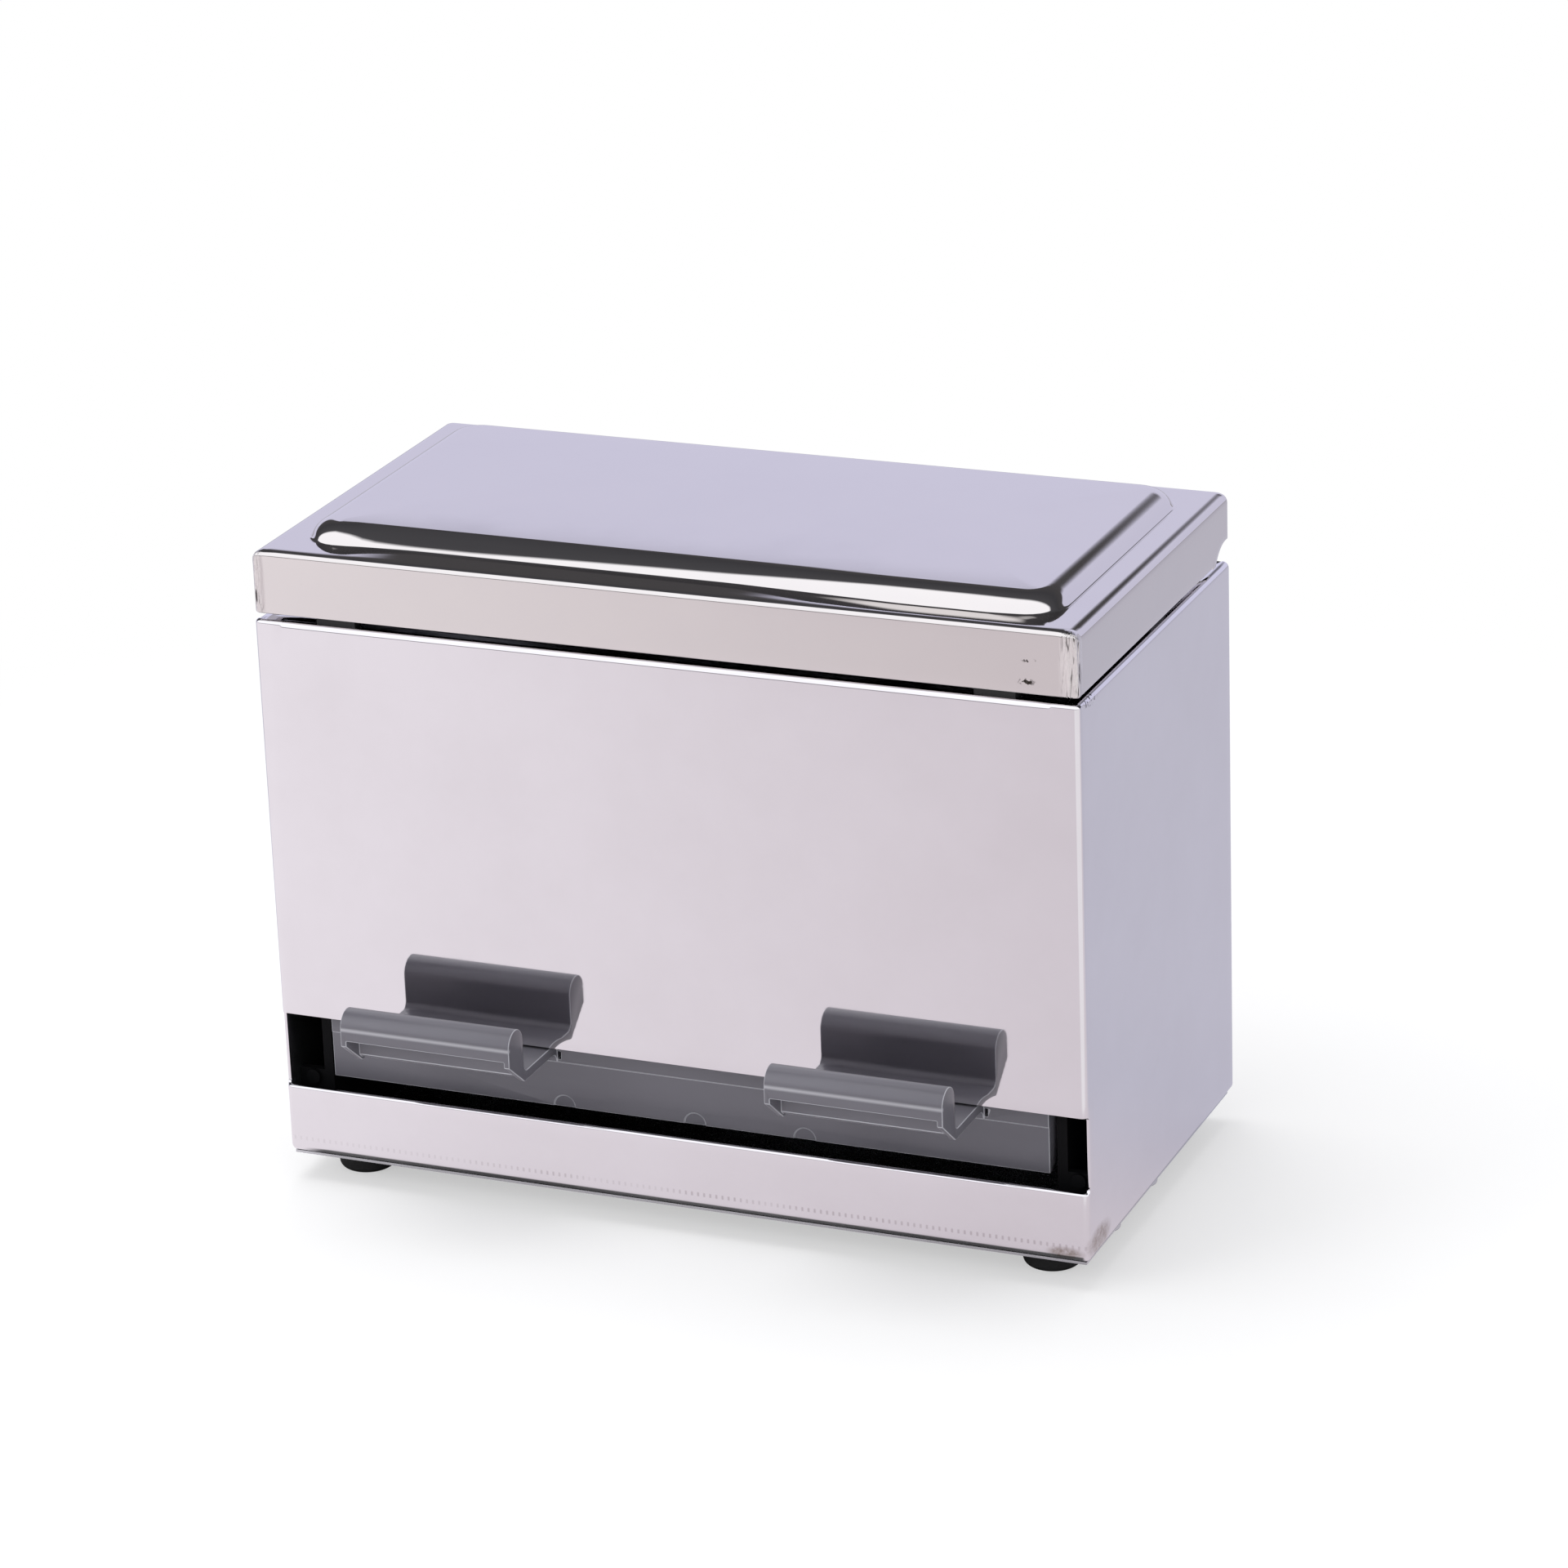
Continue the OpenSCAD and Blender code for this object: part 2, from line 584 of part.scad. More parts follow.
// Rib that ties the trough to a hub.
module rib_outline() {
    end = mouth_angle - drum_span;
    in_r = drum_r - rib_t / 2;
    hub_at = [pivot_back, pivot_z];
    polygon([[plate_recess + plate_t / 2, plate_low + 1],
        [plate_recess + plate_t / 2, floor_z - floor_t / 2],
        [pocket_y + rib_t / 2, floor_z - floor_t / 2],
        [pocket_y + rib_t / 2, mouth_z - rib_t],
        hub_at + in_r * [cos(mouth_angle - drum_span / 2), sin(mouth_angle - drum_span / 2)],
        hub_at + in_r * [cos(end), sin(end)],
        hub_at + hub_r * [cos(50), sin(50)],
        hub_at + hub_r * [cos(-100), sin(-100)]]);
    translate(hub_at) circle(hub_r);
}

// Side view of a hook from the pocket forward: floor, lip and the chamfer under the lip.
module hook_outline() {
    top_r = lip_t / 2;
    top_at = [floor_y - top_r, floor_z + hook_lip - top_r];
    translate([floor_y, floor_z - floor_t]) square([plate_recess + plate_t - floor_y, floor_t]);
    polygon([[floor_y, floor_z - floor_t], [floor_y + 1, floor_z - floor_t], [floor_y + 1, floor_z],
        [floor_y, floor_z], [floor_y, top_at[1]], [-hook_reach, top_at[1]],
        [-hook_reach, floor_z + chin_rise]]);
    translate(top_at) circle(top_r);
    corner_waste([floor_y, floor_z], 0, lip_fillet);
}

// Hollow of a lip, open below its face, and the recess under the floor between its ribs.
module lip_hollow() {
    top_r = lip_t / 2 - lip_wall;
    top_at = [floor_y - lip_t / 2, floor_z + hook_lip - lip_t / 2];
    back = floor_y - lip_wall;
    recess_z = floor_z - hook_floor_t;
    polygon([[-hook_reach - 1, floor_z + face_rise], [-hook_reach + lip_wall, floor_z + face_rise],
        [-hook_reach + lip_wall, top_at[1]], [back, top_at[1]], [back, recess_z + 1.2],
        [back + 1.4, recess_z], [-floor_t, recess_z], [-floor_t, floor_z - floor_t - 1],
        [-hook_reach - 1, floor_z - floor_t - 1]]);
    translate(top_at) circle(top_r);
}

module hook() {
    x0 = hook_mid - hook_w / 2;
    x1 = hook_mid + hook_w / 2;
    difference() {
        along_x(x0, x1) hook_outline();
        along_x(x0 + lip_wall, x1 - lip_wall) lip_hollow();
    }
    // fillet between the underside of the floor and the plate
    along_x(x0, x1) corner_waste([plate_recess - step_proud, floor_z - floor_t], 180, floor_t);
}

module lever_rocker() color("darkgray") place() difference() {
    union() {
        along_x(-rocker_x, rocker_x) trough_outline();
        both_sides() {
            hook();
            for (x = rib_places) along_x(x, x + rib_t) rib_outline();
            // hubs, with the stop stud and its arm on the end rib
            for (x = rib_places) along_x(x - (x == rib_places[0] ? 4 : 2), x + rib_t)
                translate([pivot_back, pivot_z]) circle(hub_r);
            along_x(rib_places[0], rocker_x) at_stud_low() {
                translate([stud_arm, 0]) circle(sleeve_r);
                translate([0, -sleeve_r]) square([stud_arm, 2 * sleeve_r]);
            }
            along_x(rib_places[0], stud_end) at_stud_low() translate([stud_arm, 0]) circle(stud_r);
        }
    }
    translate([-body_w, pivot_back, pivot_z]) rotate([0, 90, 0])
        cylinder(r = axle_r + fit_gap, h = 2 * body_w);
    // round marks of the mould, cut through by the lower edge of the plate
    for (x = eject_x) translate([x, plate_recess - 1, plate_low + eject_deep]) rotate([-90, 0, 0])
        cylinder(r = eject_r, h = 1 + eject_deep);
    // narrow slits in the plate beside both ends of each hook
    both_sides() for (x = [hook_mid - hook_w / 2 - slit_w - seat_gap, hook_mid + hook_w / 2 + seat_gap])
        translate([x, plate_recess - 1, step_z + slit_w]) cube([slit_w, plate_t + 2, slit_h]);
}

module lever_axle() color("silver") place() translate([0, pivot_back, pivot_z])
    rotate([0, 90, 0]) difference() {
        cylinder(r = axle_r, h = 2 * axle_end, center = true);
        for (side = [-1, 1]) translate([0, 0, side * (clip_x + clip_t / 2)]) difference() {
            cylinder(r = axle_r + 1, h = clip_t + 0.1, center = true);
            cylinder(r = groove_r, h = clip_t + 1, center = true);
        }
    }

module axle_clips() color("dimgray") place() both_sides()
    along_x(clip_x, clip_x + clip_t) translate([pivot_back, pivot_z]) difference() {
        circle(clip_r);
        circle(groove_r + fit_gap);
        translate([0, clip_mouth - groove_r]) square([clip_r + 1, 2 * (groove_r - clip_mouth)]);
    }

module stop_sleeves() color("black") place() both_sides() along_x(cheek_x + 0.1, boss_x - 0.1)
    at_stud_low() translate([stud_arm, 0]) difference() {
        circle(sleeve_r);
        circle(stud_r + fit_gap);
    }

// ---------- brackets ----------

// Arc-shaped track for the stop stud. Its round ends are a little wider than the arc.
module stop_track() translate([pivot_back, pivot_z]) {
    side = track_r - track_relief;
    intersection() {
        difference() {
            circle(stud_arm + side);
            circle(stud_arm - side);
        }
        sector(stud_arm + side, stud_low, -stud_low);
    }
    for (a = [stud_low, -stud_low]) rotate(a) translate([stud_arm, 0]) circle(track_r);
}

module cheek_outline() difference() {
    union() {
        translate([pivot_back, pivot_z]) circle(stud_arm + track_r + 2);
        polygon([[foot_plate_y[0], bracket_low], [foot_plate_y[0], cheek_top], [pivot_back, cheek_top],
            [pivot_back + stud_arm + track_r, pivot_z], [foot_plate_y[1], bracket_low + foot_plate_t],
            [foot_plate_y[1], bracket_low]]);
    }
    stop_track();
    translate([pivot_back, pivot_z]) circle(bush_r + fit_gap);
}

module bracket() {
    foot_in = rocker_x + run_gap + 0.4;
    foot_out = wall_x - seat_gap;
    along_x(cheek_x, boss_x) cheek_outline();
    along_x(boss_x - eps, boss_end) translate([pivot_back, pivot_z]) difference() {
        circle(boss_r);
        circle(bush_r + fit_gap);
    }
    difference() {
        union() {
            along_y(foot_plate_y[0], foot_plate_y[1]) rounded_rect([foot_in, bracket_low],
                [foot_out, bracket_low + foot_plate_t], [eps, bend_r, eps, eps]);
            for (y = bracket_screws_y) translate([bracket_screw_x, y, bracket_low + bend_r])
                cylinder(r = screw_boss_r, h = screw_boss_h - bend_r);
        }
        for (y = bracket_screws_y) translate([bracket_screw_x, y, bracket_low - 1])
            cylinder(r = bracket_screw_r + fit_gap, h = screw_boss_h + 2);
    }
    // front wall behind the end of the slot, with its locating stud
    along_y(foot_plate_y[0], foot_plate_y[0] + rib_t) rounded_rect([cheek_x, bracket_low],
        [foot_out, bracket_low + guard_h], [eps, bend_r, eps, eps]);
    translate([(cheek_x + foot_out) / 2 + 1, foot_plate_y[0] - locator_l, bracket_low + guard_h - locator_r])
        rotate([-90, 0, 0]) cylinder(r = locator_r, h = locator_l + 1);
    // peg for the fixed leg of the spring
    along_x(boss_x - eps, boss_end - 0.4) translate(peg_at) circle(peg_r);
}

module right_bracket() color("#1c1c1e") place() bracket();

module left_bracket() color("#1c1c1e") place() mirror([1, 0, 0]) bracket();

module axle_bushes() color("ivory") place() both_sides() {
    along_x(flange_x, boss_end) translate([pivot_back, pivot_z]) difference() {
        circle(bush_r);
        circle(axle_r + axle_gap);
    }
    along_x(flange_x, cheek_x) translate([pivot_back, pivot_z]) difference() {
        circle(bush_r + 1.2);
        circle(axle_r + axle_gap);
    }
}

// Angle at which a line from a point just touches a circle about the axle.
function touch_angle(p, r, side) = atan2(p[1], p[0]) + side * acos(r / norm(p));

// End of a straight leg that leaves the coil at a point and runs on past a rest in the same plane.
function past(from, rest) = let (run = rest - [from[1], from[2]])
    [from[0], from[1] + leg_over * run[0], from[2] + leg_over * run[1]];

// Torsion spring round the boss: its moving leg lies on the stop stud and its fixed leg on the peg.
module return_spring() {
    rest = wire_d / 2 + 0.1;
    stud = (stud_arm) * [cos(stud_low), sin(stud_low)] + (stud_r + rest) * [-sin(stud_low), cos(stud_low)];
    peg = peg_at - [pivot_back, pivot_z];
    peg_side = peg + (peg_r + rest) * [peg[1], -peg[0]] / norm(peg);
    a_start = touch_angle(peg_side, coil_r, -1) + 360;
    a_end = touch_angle(stud, coil_r, 1) - 360 * coil_turns;
    steps = 20 * (coil_turns + 1);
    coil = [for (i = [0:steps])
        let (a = a_start + (a_end - a_start) * i / steps)
        [coil_x + coil_pitch * (a_start - a) / 360, coil_r * cos(a), coil_r * sin(a)]];
    wire(concat([past(coil[0], peg_side)], coil, [past(coil[steps], stud)]), wire_d / 2);
}

module right_return_spring() color("gray") place() translate([0, pivot_back, pivot_z]) return_spring();

module left_return_spring() color("gray") place() mirror([1, 0, 0])
    translate([0, pivot_back, pivot_z]) return_spring();

module bracket_screws() color("silver") place() both_sides() for (y = bracket_screws_y)
    translate([bracket_screw_x, y, -base_t])
        pan_screw(bracket_screw_r, base_t + sheet + screw_boss_h - 1, bracket_screw_r * 1.9, 2);

// ---------- feet ----------

module rubber_feet() color("#202020") place() for (p = foot_places)
    translate([p[0], p[1], -base_t - foot_h]) rotate_extrude() {
        hole = foot_screw_r + bore_gap;
        well = foot_screw_r * 2.3;
        low_r = foot_r - foot_taper;
        polygon([[hole, foot_h - foot_web], [well, foot_h - foot_web], [well, 0], [low_r - foot_edge, 0],
            [low_r, foot_edge], [foot_r, foot_h], [hole, foot_h]]);
        translate([low_r - foot_edge, foot_edge]) circle(foot_edge);
    }

module foot_screws() color("silver") place() for (p = foot_places)
    translate([p[0], p[1], -base_t - foot_web])
        pan_screw(foot_screw_r, foot_web + base_t + nut_h + 0.6, foot_screw_r * 1.9, 2.4);

module foot_nuts() color("silver") place() for (p = foot_places) translate([p[0], p[1], 0]) difference() {
    cylinder(r = nut_r, h = nut_h, $fn = 6);
    translate([0, 0, -1]) cylinder(r = foot_screw_r + fit_gap, h = nut_h + 2);
}

body_shell();
rear_panel();
base_panel();
hopper_ramp();
lid_shell();
lid_bumpers();
hinge_rim_leaf();
hinge_lid_leaf();
hinge_pin();
rim_leaf_rivets();
lid_leaf_rivets();
lever_rocker();
lever_axle();
axle_clips();
stop_sleeves();
left_bracket();
right_bracket();
axle_bushes();
left_return_spring();
right_return_spring();
bracket_screws();
rubber_feet();
foot_screws();
foot_nuts();
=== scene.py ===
"""Looks of a counter-top straw dispenser: polished sheet box, pressed lid and grey rocker.

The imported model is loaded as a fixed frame. The lid and the body are drawn here as smooth pressed
sheet, the moulded rocker gets its rounded edges, and every piece gets the finish of the real one.
Sizes inside the classes are millimetres of the drawing frame: x from the middle of the box, y back
from the front panel, z up from the lower edge of the box.
"""

from __future__ import annotations

import json
import logging
import math
from dataclasses import dataclass, field
from enum import Enum
from typing import Any, Sequence

import bmesh
import bpy
import numpy as np
from mathutils import Matrix, Vector

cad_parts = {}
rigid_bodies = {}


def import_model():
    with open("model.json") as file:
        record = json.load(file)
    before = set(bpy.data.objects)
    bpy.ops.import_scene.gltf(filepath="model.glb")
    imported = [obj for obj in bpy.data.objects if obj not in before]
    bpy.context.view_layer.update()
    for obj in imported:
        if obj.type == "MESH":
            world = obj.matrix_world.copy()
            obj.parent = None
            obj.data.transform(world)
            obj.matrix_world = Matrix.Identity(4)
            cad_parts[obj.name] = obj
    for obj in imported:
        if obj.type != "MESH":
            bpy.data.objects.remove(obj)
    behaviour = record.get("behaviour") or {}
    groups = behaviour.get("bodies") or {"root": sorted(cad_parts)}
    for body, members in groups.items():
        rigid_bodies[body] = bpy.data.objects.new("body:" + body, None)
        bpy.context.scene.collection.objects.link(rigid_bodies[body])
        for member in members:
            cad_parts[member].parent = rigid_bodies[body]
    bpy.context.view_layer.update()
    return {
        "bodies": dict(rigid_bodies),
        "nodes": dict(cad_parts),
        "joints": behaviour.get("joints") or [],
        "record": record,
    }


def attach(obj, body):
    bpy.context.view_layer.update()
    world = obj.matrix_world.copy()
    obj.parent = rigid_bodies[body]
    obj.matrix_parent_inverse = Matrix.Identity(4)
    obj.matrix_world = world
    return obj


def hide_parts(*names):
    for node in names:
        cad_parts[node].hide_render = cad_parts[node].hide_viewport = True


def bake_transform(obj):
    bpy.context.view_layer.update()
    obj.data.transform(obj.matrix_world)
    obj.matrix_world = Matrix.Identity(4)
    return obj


LOG = logging.getLogger("straw_dispenser")
MM = 0.001
FRONT_PANEL_Y = -51.8
LOWER_EDGE_Z = 9.0
BURR = 0.16
EASED = {"interpolation_type": "SMOOTHSTEP"}


class Body(Enum):
    """The rigid bodies that pieces ride on."""

    BOX = "box"
    LID = "lid"
    LEVER = "lever"


class Slot(Enum):
    """Names of the record's material slots."""

    SHEET = "brushed_sheet"
    GREY = "grey_plastic"
    WIRE = "spring_wire"


# ---------------------------------------------------------------- helpers


def to_part(points: np.ndarray) -> np.ndarray:
    """Move points of the drawing frame, in mm, into the part's frame, in metres."""
    return (points + np.array([0.0, FRONT_PANEL_Y, LOWER_EDGE_Z])) * MM


def linear(hex_colour: str) -> tuple[float, float, float, float]:
    """Turn an sRGB hex colour into linear RGBA."""
    parts = [int(hex_colour[i : i + 2], 16) / 255 for i in (1, 3, 5)]
    made = [c / 12.92 if c <= 0.04045 else ((c + 0.055) / 1.055) ** 2.4 for c in parts]
    return (made[0], made[1], made[2], 1.0)


def add_node(
    tree: bpy.types.NodeTree, kind: str, inputs: dict[Any, Any] | None = None, **settings: Any
) -> bpy.types.Node:
    """Add one shader node.

    Args:
        tree: Node tree that takes it.
        kind: Blender's identifier of the node, without its ShaderNode.
        inputs: Socket name or number to a value, or to an output socket that is linked. A node
            stands for the first of its outputs that is in use.
        settings: Properties of the node itself.

    Returns:
        The new node.
    """
    made = tree.nodes.new("ShaderNode" + kind)
    for name, value in settings.items():
        setattr(made, name, value)
    for key, value in (inputs or {}).items():
        if isinstance(value, bpy.types.Node):
            value = next(output for output in value.outputs if output.enabled)
        if isinstance(value, bpy.types.NodeSocket):
            tree.links.new(value, made.inputs[key])
        else:
            made.inputs[key].default_value = value
    return made


def new_material(name: str) -> tuple[bpy.types.Material, bpy.types.NodeTree]:
    """Make a material with an empty node tree, and return both."""
    material = bpy.data.materials.new(name)
    material.use_nodes = True
    tree = material.node_tree
    tree.nodes.clear()
    return material, tree


def new_object(name: str, data: Any) -> bpy.types.Object:
    """Make an object from its data and put it into the scene."""
    obj = bpy.data.objects.new(name, data)
    bpy.context.scene.collection.objects.link(obj)
    return obj


def set_ramp(ramp: bpy.types.Node, stops: Sequence[tuple[float, Sequence[float]]]) -> None:
    """Give a colour ramp its stops, each a position and a linear colour."""
    elements = ramp.color_ramp.elements
    while len(elements) > 1:
        elements.remove(elements[-1])
    elements[0].position, elements[0].color = stops[0][0], (*stops[0][1], 1.0)
    for position, colour in stops[1:]:
        elements.new(position).color = (*colour, 1.0)


def dress(obj: bpy.types.Object, *materials: bpy.types.Material) -> None:
    """Put materials into an object's slots in place of what it had."""
    obj.data.materials.clear()
    for material in materials:
        obj.data.materials.append(material)


def settle(obj: bpy.types.Object) -> None:
    """Apply an object's modifiers to its mesh."""
    graph = bpy.context.evaluated_depsgraph_get()
    mesh = bpy.data.meshes.new_from_object(obj.evaluated_get(graph))
    obj.modifiers.clear()
    obj.data = mesh


def smooth(obj: bpy.types.Object, degrees: float) -> None:
    """Shade smooth, with sharp edges where faces meet at more than an angle."""
    obj.data.shade_smooth()
    obj.data.set_sharp_from_angle(angle=math.radians(degrees))


def thicken(
    obj: bpy.types.Object, gauge: float, outside: bpy.types.Material, inside: bpy.types.Material
) -> None:
    """Give a skin its sheet thickness inward, and break the burr of its cut edges.

    Args:
        obj: Object whose mesh is the outer skin.
        gauge: Thickness of the sheet in mm.
        outside: Finish of the face that was polished.
        inside: Finish of the back of the sheet.
    """
    dress(obj, outside, inside)
    solid = obj.modifiers.new("gauge", "SOLIDIFY")
    solid.thickness = gauge * MM
    solid.offset = -1
    solid.material_offset = 1
    settle(obj)
    burr = obj.modifiers.new("broken edge", "BEVEL")
    burr.width = BURR * MM
    burr.segments = 2
    burr.limit_method = "ANGLE"
    burr.angle_limit = math.radians(60)
    burr.use_clamp_overlap = True
    settle(obj)
    smooth(obj, 40)


def copy_of(
    frame: dict[str, Any], node: str, name: str, merge_degrees: float = 0.0
) -> bpy.types.Object:
    """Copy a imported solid's mesh into a new object.

    Args:
        node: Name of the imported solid.
        name: Name of the new object and mesh.
        merge_degrees: Faces that meet at less than this become one; 0 keeps them all.

    Returns:
        The copy, with its doubled points merged and its stored normals cleared.
    """
    mesh = frame["nodes"][node].data.copy()
    mesh.name = name
    made = bmesh.new()
    made.from_mesh(mesh)
    bmesh.ops.remove_doubles(made, verts=made.verts, dist=2e-6)
    if merge_degrees:
        bmesh.ops.dissolve_limit(
            made, angle_limit=math.radians(merge_degrees), verts=made.verts, edges=made.edges
        )
    made.to_mesh(mesh)
    made.free()
    obj = new_object(name, mesh)
    if mesh.has_custom_normals:
        with bpy.context.temp_override(object=obj, active_object=obj):
            bpy.ops.mesh.customdata_custom_splitnormals_clear()
    return obj


class Sheet:
    """Points and faces gathered from grids and made into one mesh."""

    def __init__(self) -> None:
        """Start with nothing gathered."""
        self.points: list[np.ndarray] = []
        self.faces: list[list[int]] = []
        self.count = 0

    def grid(self, rows: np.ndarray, closed: bool, keep: np.ndarray | None = None) -> int:
        """Add a grid of quads.

        Args:
            rows: Array of rows by columns by 3, in mm of the drawing frame.
            closed: Whether the last column joins the first.
            keep: Which quads to keep, as rows - 1 by columns.

        Returns:
            Number of the grid's first point.
        """
        n_rows, n_cols = rows.shape[:2]
        start = self.count
        number = np.arange(n_rows * n_cols).reshape(n_rows, n_cols) + start
        after = np.roll(number, -1, axis=1)
        quads = np.stack([number[:-1], after[:-1], after[1:], number[1:]], axis=-1)
        wanted = np.ones(quads.shape[:2], bool) if keep is None else keep.copy()
        if not closed:
            wanted[:, -1] = False
        self.faces += quads[wanted].tolist()
        self.points.append(rows.reshape(-1, 3))
        self.count += n_rows * n_cols
        return start

    def object(self, name: str, weld: float) -> bpy.types.Object:
        """Make the mesh, with points closer than weld mm merged, and link its object."""
        mesh = bpy.data.meshes.new(name)
        mesh.from_pydata(to_part(np.vstack(self.points)).tolist(), [], self.faces)
        made = bmesh.new()
        made.from_mesh(mesh)
        bmesh.ops.remove_doubles(made, verts=made.verts, dist=weld * MM)
        made.to_mesh(mesh)
        made.free()
        return new_object(name, mesh)


@dataclass
class Outline:
    """A rectangle with round corners, walked clockwise from above, from the rear right."""

    half_w: float
    front: float
    back: float
    across: np.ndarray
    along: np.ndarray
    corner_steps: int = 8

    def side_sizes(self) -> list[int]:
        """Points of each run: side, corner, front, corner, side, corner, rear, corner."""
        corner = self.corner_steps - 1
        return [len(self.along), corner, len(self.across), corner] * 2

    def runs(self) -> np.ndarray:
        """Number of the run that each point is on, from 0 to 7."""
        return np.repeat(np.arange(8), self.side_sizes())

    def ring(
        self, inset: Sequence[float], radius: float, heights: Sequence[float]
    ) -> np.ndarray:
        """One ring: straight runs through the given shares, corners as arcs of a circle.

        Args:
            inset: Distance in from the outline at the front, the sides and the rear.
            radius: Corner radius of this ring.
            heights: Height at the front, the sides and the rear, blended round the corners.

        Returns:
            Array of points by 3.
        """
        half = self.half_w - inset[1]
        y0, y1 = self.front + inset[0], self.back - inset[2]
        mid, reach = (y0 + y1) / 2, (y1 - y0) / 2 - radius
        turn = np.linspace(0, 1, self.corner_steps + 1)[1:-1]
        front_z, side_z, back_z = heights
        parts = []

        def straight(x: np.ndarray, y: np.ndarray, z: float) -> None:
            parts.append(np.stack([x, y, np.full(len(x), z)], axis=-1))

        def corner(cx: float, cy: float, start: float, z_from: float, z_to: float) -> None:
            angle = np.radians(start - 90 * turn)
            x, y = cx + radius * np.cos(angle), cy + radius * np.sin(angle)
            parts.append(np.stack([x, y, z_from + (z_to - z_from) * turn], axis=-1))

        cx, down = half - radius, self.along[::-1]
        straight(np.full(len(down), half), mid + reach * down, side_z)
        corner(cx, y0 + radius, 0, side_z, front_z)
        straight(cx * self.across[::-1], np.full(len(self.across), y0), front_z)
        corner(-cx, y0 + radius, -90, front_z, side_z)
        straight(np.full(len(down), -half), mid + reach * self.along, side_z)
        corner(-cx, y1 - radius, 180, side_z, back_z)
        straight(cx * self.across, np.full(len(self.across), y1), back_z)
        corner(cx, y1 - radius, 90, back_z, side_z)
        return np.vstack(parts)


# ---------------------------------------------------------------- finishes


@dataclass(frozen=True)
class Mark:
    """A small place on the sheet that looks different.

    centre and size are in mm of the drawing frame; size is the reach along x, y and z.
    """

    centre: tuple[float, float, float]
    size: tuple[float, float, float]


def marked(tree: bpy.types.NodeTree, place: Any, marks: Sequence[Mark]) -> bpy.types.Node:
    """Make a factor of 1 in the middle of each mark, which falls to 0 at its reach."""
    found = None
    for mark in marks:
        centre = tuple(to_part(np.array(mark.centre)))
        reach = tuple(size * MM for size in mark.size)
        off = add_node(tree, "VectorMath", {0: place, 1: centre}, operation="SUBTRACT")
        share = add_node(tree, "VectorMath", {0: off, 1: reach}, operation="DIVIDE")
        length = add_node(tree, "VectorMath", {0: share}, operation="LENGTH")
        near = add_node(tree, "MapRange", {0: length, 1: 1.0, 2: 0.35, 3: 0.0, 4: 1.0}, **EASED)
        if found is not None:
            near = add_node(tree, "Math", {0: found, 1: near}, operation="MAXIMUM")
        found = near
    return found


def stain_and_highlight(
    tree: bpy.types.NodeTree, colour: Any, near: Any, pattern: Any, tint: str
) -> bpy.types.Node:
    """Lay a tint over a colour, as far as a place and a pattern both say.

    Args:
        tree: Node tree that takes it.
        colour: What is stained.
        near: Factor of the place.
        pattern: Factor of the pattern inside it.
        tint: sRGB hex colour of the stain, or of the painted highlight.

    Returns:
        The node that gives the new colour.
    """
    share = add_node(tree, "Math", {0: near, 1: pattern}, operation="MULTIPLY")
    return add_node(
        tree, "Mix", {"Factor": share, 6: colour, 7: linear(tint)}, data_type="RGBA"
    )


def level_band(
    tree: bpy.types.NodeTree, parts: bpy.types.Node, z: float, core: float, most: float
) -> bpy.types.Node:
    """Make a factor that is high in a thin level band.

    Args:
        tree: Node tree that takes it.
        parts: Node that splits the place into x, y and z.
        z: Height of the band in mm of the drawing frame.
        core: How far up and down, in mm, the factor keeps its most. It is 0 at 0.8 mm.
        most: The factor in the middle of the band.

    Returns:
        The node that gives the factor.
    """
    level = (z + LOWER_EDGE_Z) * MM
    off = add_node(tree, "Math", {0: parts.outputs["Z"], 1: level}, operation="SUBTRACT")
    reach = add_node(tree, "Math", {0: off}, operation="ABSOLUTE")
    return add_node(tree, "MapRange", {0: reach, 1: 0.8 * MM, 2: core * MM, 3: 0.0, 4: most})


